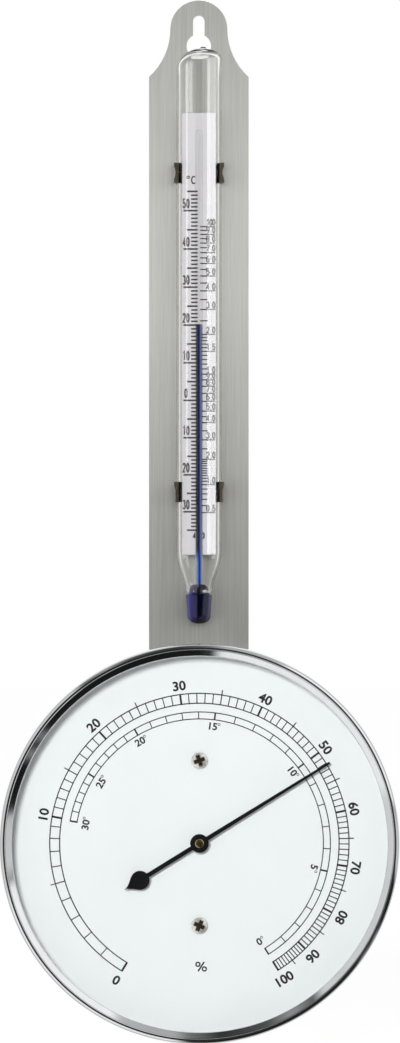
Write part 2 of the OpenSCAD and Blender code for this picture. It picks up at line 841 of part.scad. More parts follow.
// Crank on the sector's arbor, with the pin that holds the lower end of the hair
module hair_crank() {
    color([0.8, 0.66, 0.3]) union() {
        difference() {
            on_dial(sector_x, sector_y, crank_mid - crank_t / 2) linear_extrude(height = crank_t) {
                circle(r = arbor_r + 0.5);
                translate([-crank_r, -0.5]) square([crank_r, 1]);
                translate([-crank_r, 0]) circle(r = 0.65);
            }
            dial_hole(sector_x, sector_y, crank_mid - crank_t, crank_mid + crank_t, arbor_r);
        }
        dial_rod(hair_x, sector_y, crank_mid + crank_t / 2, crank_mid + crank_t / 2 + 1.3, crank_pin_r);
    }
}

// Crimped end of the hair: an eye on the pin and a tube that grips the strands
module ferrule(x, y, h, pin_r, up) {
    past = 2 * ferrule_len;
    on_dial(x, y, h) difference() {
        union() {
            cylinder(h = 0.5, r = ferrule_r);
            translate([0, 0, 0.25]) rotate([up ? -90 : 90, 0, 0]) translate([0, 0, 0.3])
                cylinder(h = ferrule_len, r = ferrule_r * 0.9);
        }
        translate([0, 0, -cut]) cylinder(h = 0.5 + 2 * cut, r = pin_r);
        translate([-past, -past, -past]) cube([2 * past, 2 * past, past]);
    }
}

module lower_ferrule() {
    color([0.7, 0.7, 0.7]) ferrule(hair_x, sector_y, crank_mid + crank_t / 2, crank_pin_r, true);
}

module upper_ferrule() {
    color([0.7, 0.7, 0.7]) ferrule(hair_x, adjuster_y, crank_mid + crank_t / 2, crank_pin_r, false);
}

module hair_bundle() {
    low = sector_y + 0.3 + ferrule_len;
    high = adjuster_y - 0.3 - ferrule_len;
    for (i = [0 : strands - 1]) {
        x = hair_x + (i - (strands - 1) / 2) * 0.2;
        color([0.35, 0.25, 0.15]) on_dial(x, low, crank_mid + crank_t / 2 + 0.25)
            rotate([-90, 0, 0]) cylinder(h = high - low, r = strand_r, $fn = 16);
    }
}

// Pivot behind, journal in front; the boss of the pointer is pressed on its end
module pointer_arbor() {
    color([0.65, 0.66, 0.68]) arbor(0, 0, bridge_rear, hub_rear + 1.6);
}

module pinion() {
    first = sector_dir + 180 / pinion_teeth;
    outline = [for (k = [0 : pinion_teeth - 1]) each tooth(pinion_r, first + k * 360 / pinion_teeth)];
    color([0.7, 0.7, 0.72]) difference() {
        on_dial(0, 0, gear_mid - pinion_len / 2) linear_extrude(height = pinion_len) polygon(outline);
        dial_hole(0, 0, gear_mid - pinion_len, gear_mid + pinion_len, arbor_r);
    }
}

module spring_collet() {
    half = ribbon_h / 2 + 0.2;
    color([0.8, 0.66, 0.3])
        dial_ring(0, 0, spring_mid - half, spring_mid + half, spring_in, arbor_r);
}

module hairspring() {
    r0 = spring_in + 0.03;
    outline = concat(
        spiral(r0, coil_pitch, coil_turns, 0),
        reversed(spiral(r0, coil_pitch, coil_turns, ribbon_t))
    );
    color([0.4, 0.42, 0.5]) on_dial(0, 0, spring_mid - ribbon_h / 2)
        linear_extrude(height = ribbon_h) polygon(outline);
}

// Post in the bridge against which the outer end of the hairspring is pinned
module spring_stud() {
    x = spring_out + 0.7;
    color([0.8, 0.66, 0.3]) union() {
        dial_rod(x, 0, bridge_rear, bridge_front, 0.6);
        dial_rod(x, 0, bridge_front, spring_mid + ribbon_h / 2 + 0.3, 0.55);
    }
}

// Brass boss pressed on the arbor
module pointer_boss() {
    color([0.75, 0.58, 0.28]) dial_ring(0, 0, hub_rear, hub_rear + 1.4, hub_r * 0.48, pivot_r);
}

// Outline of the pointer, pointing up from its axis
module pointer_outline() {
    half_root = pointer_root_w / 2;
    half_tip = pointer_tip_w / 2;
    polygon([[-half_root, 0], [half_root, 0], [half_tip, pointer_len], [-half_tip, pointer_len]]);
    translate([-half_root, -tail_len]) square([pointer_root_w, tail_len]);
    translate([0, -tail_len]) circle(r = tail_r);
    // Point of the tail: two hollow flanks that leave the round end at 50 degrees
    side = tail_r * sin(50);
    base = tail_r * cos(50);
    spade = [
        for (i = [0 : 8])
            let (t = i / 8)
            [side * pow(1 - t, 1.6) + 0.08, -tail_len - base - (tail_point - base) * t]
    ];
    polygon(concat([[0, -tail_len]], spade, [for (p = reversed(spade)) [-p.x, p.y]]));
}

// Blackened pointer with its hub disc
module pointer() {
    color([0.03, 0.03, 0.03]) difference() {
        union() {
            on_dial(0, 0, blade_rear) rotate(-pointer_angle)
                linear_extrude(height = pointer_t) pointer_outline();
            dial_rod(0, 0, hub_rear, hub_rear + 1, hub_r);
        }
        dial_hole(0, 0, hub_rear, hub_rear + 1, hub_r * 0.48);
    }
}

// Flanged bush in the can's floor
module adjuster_bush() {
    color([0.8, 0.66, 0.3]) difference() {
        union() {
            dial_rod(-adjuster_x, adjuster_y, plate_t, can_floor, adjuster_bush_r);
            dial_rod(-adjuster_x, adjuster_y, can_floor, can_floor + bush_flange_t, adjuster_bush_r + 1);
        }
        dial_hole(-adjuster_x, adjuster_y, plate_t, can_floor + bush_flange_t, adjuster_r + run_gap);
    }
}

module adjuster_washer() {
    rear = can_floor + bush_flange_t;
    color([0.7, 0.7, 0.68])
        dial_ring(-adjuster_x, adjuster_y, rear, rear + washer_t, adjuster_bush_r, adjuster_r + 0.1);
}

// Turnable stud with a screwdriver slot that is reached from behind the case
module adjuster_stud() {
    collar_rear = can_floor + bush_flange_t + washer_t + 0.02;
    color([0.8, 0.66, 0.3]) difference() {
        union() {
            dial_rod(-adjuster_x, adjuster_y, plate_t + 0.2, arm_rear, adjuster_r);
            dial_rod(-adjuster_x, adjuster_y, collar_rear, collar_rear + 1, adjuster_bush_r);
            dial_rod(-adjuster_x, adjuster_y, arm_rear, arm_rear + crank_t, adjuster_r * 0.6);
        }
        on_dial(-adjuster_x, adjuster_y, plate_t) cube([3 * adjuster_r, 0.7, 2], center = true);
    }
}

// Arm that carries the upper end of the hair
module adjuster_arm() {
    reach = adjuster_x + hair_x;
    color([0.8, 0.66, 0.3]) union() {
        difference() {
            on_dial(-adjuster_x, adjuster_y, arm_rear) linear_extrude(height = crank_t) {
                circle(r = adjuster_r + 0.6);
                translate([0, -arm_edge / 2]) square([reach, arm_edge]);
                translate([reach, 0]) circle(r = arm_edge / 2);
            }
            dial_hole(-adjuster_x, adjuster_y, arm_rear, arm_rear + crank_t, adjuster_r * 0.6);
        }
        dial_rod(hair_x, adjuster_y, arm_rear + crank_t, arm_rear + crank_t + 1.3, crank_pin_r);
    }
}

back_plate();
upper_clip();
lower_clip();
clip_rivets();
glass_jacket();
capillary_rod();
bulb();
bulb_spirit();
spirit_column();
spirit_level();
scale_plate();
scale_rest();
case_shell();
case_screws();
posts();
bezel();
crystal();
crystal_gasket();
dial();
dial_screws();
movement_plate();
bridge();
pillars();
pillar_nuts();
pointer_front_bush();
pointer_rear_bush();
sector_bushes();
sector_arbor();
sector_gear();
hair_crank();
lower_ferrule();
pointer_arbor();
pinion();
spring_collet();
pointer_boss();
pointer();
hairspring();
spring_stud();
hair_bundle();
adjuster_bush();
adjuster_washer();
adjuster_stud();
adjuster_arm();
upper_ferrule();
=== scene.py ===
"""Polymeter: a glass thermometer and a round hair hygrometer on one hanging plate.

Sizes in the classes are in millimetres. A drawing point is (x, y, h): x to the right and y up on the
sheet, h the height above the wall. On the dial y starts at the dial's centre, elsewhere at the hanging hole.
"""
import abc
import json
import logging
import math
from dataclasses import dataclass, field
from enum import Enum
from typing import Iterable, Sequence

import bmesh
import bpy
import numpy as np
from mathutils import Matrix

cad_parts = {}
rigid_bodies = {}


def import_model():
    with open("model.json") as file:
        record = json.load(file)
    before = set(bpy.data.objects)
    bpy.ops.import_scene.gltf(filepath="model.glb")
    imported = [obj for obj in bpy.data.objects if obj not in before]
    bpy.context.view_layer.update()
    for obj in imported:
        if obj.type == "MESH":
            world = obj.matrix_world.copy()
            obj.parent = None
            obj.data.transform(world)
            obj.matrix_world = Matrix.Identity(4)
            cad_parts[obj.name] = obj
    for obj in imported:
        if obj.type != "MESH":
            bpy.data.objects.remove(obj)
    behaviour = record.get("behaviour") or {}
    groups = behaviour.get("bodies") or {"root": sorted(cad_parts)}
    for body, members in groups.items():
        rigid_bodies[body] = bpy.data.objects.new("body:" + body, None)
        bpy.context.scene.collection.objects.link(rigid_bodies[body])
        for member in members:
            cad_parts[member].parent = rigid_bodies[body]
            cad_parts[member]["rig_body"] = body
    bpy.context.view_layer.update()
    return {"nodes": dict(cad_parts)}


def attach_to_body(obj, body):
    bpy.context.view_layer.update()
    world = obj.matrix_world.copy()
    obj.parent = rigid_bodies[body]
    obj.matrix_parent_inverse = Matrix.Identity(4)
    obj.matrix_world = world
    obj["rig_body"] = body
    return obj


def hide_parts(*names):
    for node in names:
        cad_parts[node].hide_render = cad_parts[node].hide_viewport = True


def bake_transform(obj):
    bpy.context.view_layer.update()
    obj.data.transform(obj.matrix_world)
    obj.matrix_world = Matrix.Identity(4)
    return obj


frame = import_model()
LOG = logging.getLogger("polymeter")
Colour = tuple[float, float, float]
Point = tuple[float, float, float]
MM = 0.001
DIAL_DROP = 207.0  # Millimetres from the hanging hole down to the dial's centre.


def grey(level: float) -> Colour:
    """A neutral colour."""
    return (level, level, level)


def shade(colour: Colour, factor: float) -> Colour:
    """A colour made darker or lighter, with no part above 1."""
    return tuple(min(part * factor, 1.0) for part in colour)


def srgb(red: int, green: int, blue: int) -> Colour:
    """Linear colour of an 8-bit display colour: ((c + 0.055) / 1.055) ** 2.4 above the straight start.

    Args:
        red: Red part, 0 to 255.
        green: Green part.
        blue: Blue part.

    Returns:
        The linear colour.
    """
    share = np.array([red, green, blue]) / 255.0
    linear = np.where(share <= 0.04045, share / 12.92, ((share + 0.055) / 1.055) ** 2.4)
    return tuple(float(part) for part in linear)


class Body(Enum):
    """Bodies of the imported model."""

    FRAME = "frame"
    SECTOR = "sector"
    POINTER = "pointer_work"
    ADJUSTER = "adjuster"
    SPIRIT = "spirit_top"


# ---- shader expressions


class Value:
    """A number that changes over a surface. It wraps a socket, and its operators add Math nodes."""

    def __init__(self, tree: "Tree", socket: bpy.types.NodeSocket) -> None:
        """Keeps the tree and the socket that gives the number."""
        self.tree = tree
        self.socket = socket

    def math(self, operation: str, *inputs: "Value | float") -> "Value":
        """Adds one Math node.

        Args:
            operation: The node's operation.
            inputs: Its inputs in order, values or plain numbers.

        Returns:
            The result as a new value.
        """
        node = self.tree.node("ShaderNodeMath", {"operation": operation}, dict(enumerate(inputs)))
        return Value(self.tree, node.outputs[0])

    def __add__(self, other: "Value | float") -> "Value":
        """Sum."""
        return self.math("ADD", self, other)

    __radd__ = __add__

    def __sub__(self, other: "Value | float") -> "Value":
        """Difference."""
        return self.math("SUBTRACT", self, other)

    def __rsub__(self, other: float) -> "Value":
        """Difference from a plain number."""
        return self.math("SUBTRACT", other, self)

    def __mul__(self, other: "Value | float") -> "Value":
        """Product."""
        return self.math("MULTIPLY", self, other)

    __rmul__ = __mul__

    def __truediv__(self, other: "Value | float") -> "Value":
        """Quotient."""
        return self.math("DIVIDE", self, other)

    def __mod__(self, other: float) -> "Value":
        """Remainder."""
        return self.math("MODULO", self, other)

    def larger(self, other: "Value | float") -> "Value":
        """The larger of the two."""
        return self.math("MAXIMUM", self, other)

    def smooth(self, low: float, high: float) -> "Value":
        """0 below low, 1 above high, and a smooth step between them.

        Args:
            low: Where the step starts.
            high: Where it ends.

        Returns:
            The step as a value.
        """
        inputs = {"Value": self, "From Min": low, "From Max": high}
        node = self.tree.node("ShaderNodeMapRange", {"interpolation_type": "SMOOTHSTEP"}, inputs)
        return Value(self.tree, node.outputs[0])


class Tree:
    """A node tree to which nodes are added by one method."""

    def __init__(self, nodes: bpy.types.NodeTree) -> None:
        """Empties the tree."""
        self.nodes = nodes
        nodes.nodes.clear()

    def node(self, kind: str, settings: dict | None = None, inputs: dict | None = None) -> bpy.types.Node:
        """Adds a node.

        Args:
            kind: The node's type.
            settings: Its settings, set before its sockets. "stops" fills a ramp with (place, colour) pairs.
            inputs: Numbers, colours, values or sockets for its inputs, by name or by number.

        Returns:
            The node.
        """
        made = self.nodes.nodes.new(kind)
        for name, setting in (settings or {}).items():
            if name == "stops":
                self._stops(made.color_ramp, setting)
            else:
                setattr(made, name, setting)
        for name, given in (inputs or {}).items():
            given = given.socket if isinstance(given, Value) else given
            if isinstance(given, bpy.types.NodeSocket):
                self.nodes.links.new(given, made.inputs[name])
            elif isinstance(given, tuple) and len(given) == 3 and made.inputs[name].type == "RGBA":
                made.inputs[name].default_value = (*given, 1.0)
            else:
                made.inputs[name].default_value = given
        return made

    @staticmethod
    def _stops(ramp: bpy.types.ColorRamp, stops: Sequence[tuple[float, Colour]]) -> None:
        """Fills a ramp with its stops.

        Args:
            ramp: The ramp.
            stops: Its (place, colour) pairs.
        """
        while len(ramp.elements) > 1:
            ramp.elements.remove(ramp.elements[-1])
        for index, (place, colour) in enumerate(stops):
            stop = ramp.elements[0] if index == 0 else ramp.elements.new(place)
            stop.position = place
            stop.color = (*colour, 1.0)

    def place(self, stretch: Point = (1.0, 1.0, 1.0), shift: Point = (0.0, 0.0, 0.0)) -> bpy.types.NodeSocket:
        """Object coordinates in metres, moved by shift and then multiplied by stretch.

        Args:
            stretch: Factor along each axis.
            shift: Distance that is taken off first, in metres.

        Returns:
            The vector's socket.
        """
        source = self.node("ShaderNodeTexCoord").outputs["Object"]
        moved = self.node("ShaderNodeVectorMath", {"operation": "SUBTRACT"}, {0: source, 1: shift}).outputs[0]
        return self.node("ShaderNodeVectorMath", {"operation": "MULTIPLY"}, {0: moved, 1: stretch}).outputs[0]

    def noise(self, vector: bpy.types.NodeSocket, scale: float, detail: float = 3.0, rough: float = 0.5) -> Value:
        """Noise between 0 and 1, with about 1 / scale metres from one bump to the next.

        Args:
            vector: Coordinates in metres.
            scale: Bumps to the metre.
            detail: Number of finer layers.
            rough: Strength of the finer layers.

        Returns:
            The noise as a value.
        """
        inputs = {"Vector": vector, "Scale": scale, "Detail": detail, "Roughness": rough}
        return Value(self, self.node("ShaderNodeTexNoise", None, inputs).outputs["Fac"])

    def axes(self, vector: bpy.types.NodeSocket) -> list[Value]:
        """The three parts of a vector."""
        return [Value(self, part) for part in self.node("ShaderNodeSeparateXYZ", None, {0: vector}).outputs]

    def rays(self, *kinds: str) -> list[Value]:
        """What the Light Path node says of each kind, by its outputs' names."""
        path = self.node("ShaderNodeLightPath")
        return [Value(self, path.outputs[kind]) for kind in kinds]

    def mix(self, factor: "Value | float", first: object, second: object) -> bpy.types.NodeSocket:
        """Blends two colours.

        Args:
            factor: 0 gives the first, 1 the second.
            first: Colour or socket.
            second: Colour or socket.

        Returns:
            The colour's socket.
        """
        node = self.node("ShaderNodeMix", {"data_type": "RGBA"}, {"Factor": factor})
        for name, given in (("A", first), ("B", second)):
            socket = [s for s in node.inputs if s.name == name and s.type == "RGBA"][0]
            if isinstance(given, bpy.types.NodeSocket):
                self.nodes.links.new(given, socket)
            else:
                socket.default_value = (*given, 1.0)
        return [s for s in node.outputs if s.type == "RGBA"][0]

    def ramp(self, stops: Sequence[tuple[float, Colour]], factor: Value) -> bpy.types.NodeSocket:
        """The colour of a ramp with these stops, (place, colour), at a place between 0 and 1."""
        return self.node("ShaderNodeValToRGB", {"stops": stops}, {0: factor}).outputs[0]

    def mix_shaders(self, factor: Value, first: object, second: object) -> bpy.types.NodeSocket:
        """Blends two shaders, the first at a factor of 0 and the second at 1."""
        return self.node("ShaderNodeMixShader", None, {0: factor, 1: first, 2: second}).outputs[0]

    def bump(self, height: Value, depth: float) -> bpy.types.NodeSocket:
        """Normal of a surface raised by height times depth metres.

        Args:
            height: Height between 0 and 1.
            depth: Metres for a height of 1.

        Returns:
            The normal's socket.
        """
        return self.node("ShaderNodeBump", None, {"Strength": 1.0, "Distance": depth, "Height": height}).outputs[0]


# ---- finishes


@dataclass(frozen=True)
class Finish(abc.ABC):
    """A finish with its name. Each kind describes its own surface."""

    name: str

    @abc.abstractmethod
    def surface(self, tree: Tree) -> bpy.types.NodeSocket:
        """Adds the nodes and gives the shader's socket."""

    def material(self) -> bpy.types.Material:
        """The finish as a material, made once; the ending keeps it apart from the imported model's own.

        Returns:
            The material.
        """
        label = f"{self.name}_finish"
        found = bpy.data.materials.get(label)
        if found is None:
            found = bpy.data.materials.new(label)
            found.use_nodes = True
            tree = Tree(found.node_tree)
            tree.node("ShaderNodeOutputMaterial", None, {"Surface": self.surface(tree)})
        return found

    @staticmethod
    def principled(tree: Tree, inputs: dict) -> bpy.types.NodeSocket:
        """Adds a Principled shader with the given sockets."""
        return tree.node("ShaderNodeBsdfPrincipled", None, inputs).outputs[0]


@dataclass(frozen=True)
class BrushedStrip(Finish):
    """Rolled steel strip whose fine lines along its length spread the light sideways."""

    colour: Colour = (0.66, 0.66, 0.627)
    rough: float = 0.42
    spread: float = 0.6
    fine: float = 3600.0
    coarse: float = 900.0
    stain: float = 90.0
    relief: float = 0.000004

    def surface(self, tree: Tree) -> bpy.types.NodeSocket:
        """Lines: fine and coarse noise drawn out along Z, 0.55 and 0.45 of it; stains: soft noise.

        Args:
            tree: The material's nodes.

        Returns:
            The shader's socket.
        """
        fine = tree.noise(tree.place((1.0, 1.0, 0.02)), self.fine, 2.0, 0.6)
        coarse = tree.noise(tree.place((1.0, 1.0, 0.008), (0.03, 0.0, 0.1)), self.coarse, 3.0, 0.7)
        stain = tree.noise(tree.place((1.0, 1.0, 0.35)), self.stain, 4.0)
        lines = fine * 0.55 + coarse * 0.45
        return self.principled(tree, {
            "Base Color": tree.mix(lines.smooth(0.3, 0.7), shade(self.colour, 0.91), shade(self.colour, 1.08)),
            "Metallic": 1.0,
            "Roughness": self.rough + (lines - 0.5) * 0.12 + (stain - 0.5) * 0.05,
            "Anisotropic": self.spread,
            "Normal": tree.bump(lines, self.relief),
        })


@dataclass(frozen=True)
class Metal(Finish):
    """Bare metal with soft stains, fine scratches and duller patches."""

    colour: Colour = (0.7, 0.7, 0.68)
    rough: float = 0.25
    grain: float = 2500.0
    relief: float = 0.000002
    stain: float = 0.1
    patch: float = 160.0

    def surface(self, tree: Tree) -> bpy.types.NodeSocket:
        """Colour and gloss follow two noises, the finer of which also gives the relief.

        Args:
            tree: The material's nodes.

        Returns:
            The shader's socket.
        """
        soft = tree.noise(tree.place(), self.patch, 4.0)
        fine = tree.noise(tree.place((1.0, 0.3, 1.0)), self.grain, 3.0, 0.6)
        return self.principled(tree, {
            "Base Color": tree.mix(soft.smooth(0.35, 0.7), self.colour, shade(self.colour, 1.0 - self.stain)),
            "Metallic": 1.0,
            "Roughness": self.rough + (soft - 0.5) * 0.08 + (fine - 0.5) * 0.1,
            "Normal": tree.bump(fine, self.relief),
        })


@dataclass(frozen=True)
class Turned(Finish):
    """Metal turned about the dial's axis: fine rings about it."""

    colour: Colour = (0.78, 0.6, 0.3)
    rough: float = 0.22
    groove: float = 9000.0
    relief: float = 0.000003
    stain: float = 0.2
    patch: float = 300.0

    def surface(self, tree: Tree) -> bpy.types.NodeSocket:
        """Rings: noise of the distance from the axis.

        Args:
            tree: The material's nodes.

        Returns:
            The shader's socket.
        """
        flat = tree.place((1.0, 0.0, 1.0), (0.0, 0.0, -DIAL_DROP * MM))
        radius = tree.node("ShaderNodeVectorMath", {"operation": "LENGTH"}, {0: flat}).outputs["Value"]
        rings = tree.noise(tree.node("ShaderNodeCombineXYZ", None, {"X": radius}).outputs[0], self.groove, 2.0, 0.6)
        soft = tree.noise(tree.place(), self.patch, 3.0)
        return self.principled(tree, {
            "Base Color": tree.mix(soft.smooth(0.35, 0.75), self.colour, shade(self.colour, 1.0 - self.stain)),
            "Metallic": 1.0,
            "Roughness": self.rough + (rings - 0.5) * 0.14,
            "Normal": tree.bump(rings, self.relief),
        })


@dataclass(frozen=True)
class Coat(Finish):
    """Paint, lacquer, ink or rubber: a coloured skin with its own gloss, orange peel and dust."""

    colour: Colour = (0.9, 0.9, 0.9)
    other: Colour = (0.85, 0.85, 0.85)
    rough: float = 0.4
    peel: float = 900.0
    relief: float = 0.000004
    gloss: float = 0.5
    patch: float = 70.0

    def surface(self, tree: Tree) -> bpy.types.NodeSocket:
        """A soft and a fine noise mix the two colours and the gloss; the fine one also gives the peel.

        Args:
            tree: The material's nodes.

        Returns:
            The shader's socket.
        """
        soft = tree.noise(tree.place(), self.patch, 5.0, 0.6)
        fine = tree.noise(tree.place(), self.peel, 3.0, 0.5)
        return self.principled(tree, {
            "Base Color": tree.mix((soft * 0.7 + fine * 0.3).smooth(0.3, 0.7), self.colour, self.other),
            "Roughness": self.rough + (fine - 0.5) * 0.12 + (soft - 0.5) * 0.08,
            "Specular IOR Level": self.gloss,
            "Normal": tree.bump(fine, self.relief),
        })


@dataclass(frozen=True)
class Dyed(Finish):
    """Spirit dyed blue, dark in the middle, with painted light and painted highlights towards its edges across x; the
    bore is painted lighter below the scale.
    """

    half: float = 3.0
    # Colour stops across x: the dye's dark blue, with painted light and painted highlights towards the edges.
    stops: tuple[tuple[float, Colour], ...] = ()
    # The same below the fade, with painted light at both edges where the bore shows lighter below the scale.
    low_stops: tuple[tuple[float, Colour], ...] = ()
    fade: tuple[float, float] = (-134.0, -131.0)
    rough: float = 0.1
    grain: float = 700.0
    gloss: float = 0.2

    def surface(self, tree: Tree) -> bpy.types.NodeSocket:
        """The colour follows x from -half to half as painted light and shade, and the upper row takes over at the
        heights of the fade.

        Args:
            tree: The material's nodes.

        Returns:
            The shader's socket.
        """
        place = tree.place()
        x, _, z = tree.axes(place)
        across = x / (2 * self.half * MM) + 0.5
        low, high = (height * MM for height in self.fade)
        fine = tree.noise(place, self.grain, 2.0)
        upper, lower = (tree.ramp(stops, across) for stops in (self.stops, self.low_stops or self.stops))
        return self.principled(tree, {
            "Base Color": tree.mix(z.smooth(low, high), lower, upper),
            "Roughness": self.rough + (fine - 0.5) * 0.06,
            "Specular IOR Level": self.gloss,
        })


@dataclass(frozen=True)
class Pressed(Finish):
    """Nickelled screw head, its nickel colour on top and painted shade in its recess."""

    top: Colour = (0.84, 0.82, 0.76)
    # Painted shade: the colour at the recess's floor.
    deep: Colour = (0.07, 0.058, 0.035)
    floor_h: float = 0.0
    rim_h: float = 1.0
    rough: float = 0.28
    metal: float = 0.68
    grain: float = 1800.0

    def surface(self, tree: Tree) -> bpy.types.NodeSocket:
        """The colour follows the height over the wall, -y, from painted shade at the recess's floor to the rim.

        Args:
            tree: The material's nodes.

        Returns:
            The shader's socket.
        """
        place = tree.place()
        height = (tree.axes(place)[1] * -1.0).smooth(self.floor_h * MM, self.rim_h * MM)
        soft = tree.noise(place, self.grain, 3.0)
        return self.principled(tree, {
            "Base Color": tree.mix(height, self.deep, self.top),
            "Metallic": self.metal,
            "Roughness": self.rough + (soft - 0.5) * 0.12,
        })


@dataclass(frozen=True)
class Glass(Finish):
    """Clear glass, through which the lamps' light, diffuse bounces and mirror images pass straight."""

    colour: Colour = (0.965, 0.965, 0.96)
    ior: float = 1.47

    def surface(self, tree: Tree) -> bpy.types.NodeSocket:
        """Smooth glass, or clear for shadow and diffuse rays and for mirror images that come from outside the glass.

        A ray inside the glass has gone through an odd number of its faces, so it stays glass for that one.

        Args:
            tree: The material's nodes.

        Returns:
            The shader's socket.
        """
        inputs = {"Base Color": self.colour, "Transmission Weight": 1.0, "IOR": self.ior, "Roughness": 0.0}
        glass = self.principled(tree, inputs)
        shadow, diffuse, glossy, refracted, depth = tree.rays(
            "Is Shadow Ray", "Is Diffuse Ray", "Is Glossy Ray", "Is Transmission Ray", "Transmission Depth"
        )
        inside = depth % 2.0
        through = shadow.larger(diffuse).larger(glossy * (1.0 - refracted) * (1.0 - inside))
        clear = tree.node("ShaderNodeBsdfTransparent", None, {"Color": self.colour}).outputs[0]
        return tree.mix_shaders(through, glass, clear)


@dataclass(frozen=True)
class PaleFloor(Finish):
    """Matt pale floor that keeps the object's shadow."""

    glow: float = 0.75
    grain: float = 3.0

    def surface(self, tree: Tree) -> bpy.types.NodeSocket:
        """Matt grey, with a glow added for the camera's own rays, and clear for glossy and transmission rays.

        Args:
            tree: The material's nodes.

        Returns:
            The shader's socket.
        """
        grain = tree.noise(tree.place(), self.grain, 2.0)
        colour = tree.mix(grain, grey(0.86), grey(0.9))
        matt = tree.node("ShaderNodeBsdfDiffuse", None, {"Color": colour}).outputs[0]
        glow = tree.node("ShaderNodeEmission", None, {"Color": grey(1.0), "Strength": self.glow}).outputs[0]
        lit = tree.node("ShaderNodeAddShader", None, {0: matt, 1: glow}).outputs[0]
        clear = tree.node("ShaderNodeBsdfTransparent").outputs[0]
        seen, glossy, refracted = tree.rays("Is Camera Ray", "Is Glossy Ray", "Is Transmission Ray")
        return tree.mix_shaders(glossy.larger(refracted), tree.mix_shaders(seen, matt, lit), clear)


class Palette:
    """Every finish of the instrument and the floor's, by what it is on."""

    PLATE = BrushedStrip("brushed_strip")
    CHROME = Metal("polished_chrome", (0.84, 0.85, 0.86), 0.07, 1800.0, 0.0000006, 0.04)
    CAN = Metal("satin_can", (0.62, 0.62, 0.61), 0.32, 1500.0, 0.000004)
    SPRING = Metal("blackened_spring_steel", (0.17, 0.145, 0.11), 0.26, 1600.0, 0.000004, 0.4)
    NICKEL = Metal("nickel", (0.71, 0.69, 0.64), 0.2, 2600.0, 0.000002, 0.14)
    # Painted shade in the recess, fading out between these heights.
    SCREW = Pressed("pressed_screw", floor_h=22.6, rim_h=23.15)
    STEEL = Metal("bright_steel", (0.62, 0.62, 0.62), 0.2)
    BLUED = Metal("blued_steel", (0.2, 0.24, 0.42), 0.25)
    BRASS = Metal("brass", (0.78, 0.6, 0.3), 0.26, 1800.0, 0.000003, 0.2)
    BOSS = Turned("turned_brass")
    GLASS = Glass("clear_glass")
    PANE = Glass("front_pane", (0.998, 1.0, 1.0), 1.5)
    OPAL = Coat("opal_glass", srgb(217, 215, 219), srgb(211, 210, 215), 0.18, 500.0, 0.000001)
    LACQUER = Coat("dial_lacquer", srgb(240, 245, 245), srgb(237, 242, 242), 0.45, 1200.0, 0.000002)
    INK = Coat("printing_ink", srgb(32, 28, 30), srgb(40, 36, 37), 0.5, 2500.0, 0.000002)
    BLACK = Coat("pointer_lacquer", (0.003, 0.003, 0.0035), (0.006, 0.006, 0.0065), 0.36, 1500.0, 0.000002, 0.3)
    # Painted light: violet-blue at the left edge, near-black in the middle and grey-blue at the right edge.
    SPIRIT = Dyed("blue_spirit", 3.1, (
        (0.0, (0.04, 0.025, 0.2)), (0.12, (0.022, 0.012, 0.22)), (0.28, (0.004, 0.003, 0.06)),
        (0.42, (0.0004, 0.0004, 0.009)), (0.7, (0.0004, 0.0004, 0.012)), (0.9, (0.01, 0.01, 0.08)),
        (1.0, (0.05, 0.05, 0.15)),
    ))
    # Painted light: a painted highlight at the right edge above the scale, and light blue at both edges below it.
    COLUMN = Dyed("blue_spirit_thread", 0.48, (
        (0.0, (0.006, 0.01, 0.05)), (0.55, (0.004, 0.008, 0.05)), (0.74, (0.05, 0.09, 0.3)), (1.0, (0.25, 0.34, 0.56)),
    ), (
        (0.0, (0.13, 0.32, 0.72)), (0.24, (0.02, 0.09, 0.5)), (0.55, (0.002, 0.012, 0.16)),
        (0.8, (0.02, 0.08, 0.42)), (1.0, (0.3, 0.46, 0.76)),
    ))
    RUBBER = Coat("rubber", (0.02, 0.02, 0.02), (0.03, 0.03, 0.03), 0.7, 800.0, 0.00001)
    HAIR = Coat("stretched_hair", srgb(110, 78, 48), srgb(80, 54, 32), 0.45, 3000.0, 0.000004)
    FLOOR = PaleFloor("pale_floor")


# ---- shapes


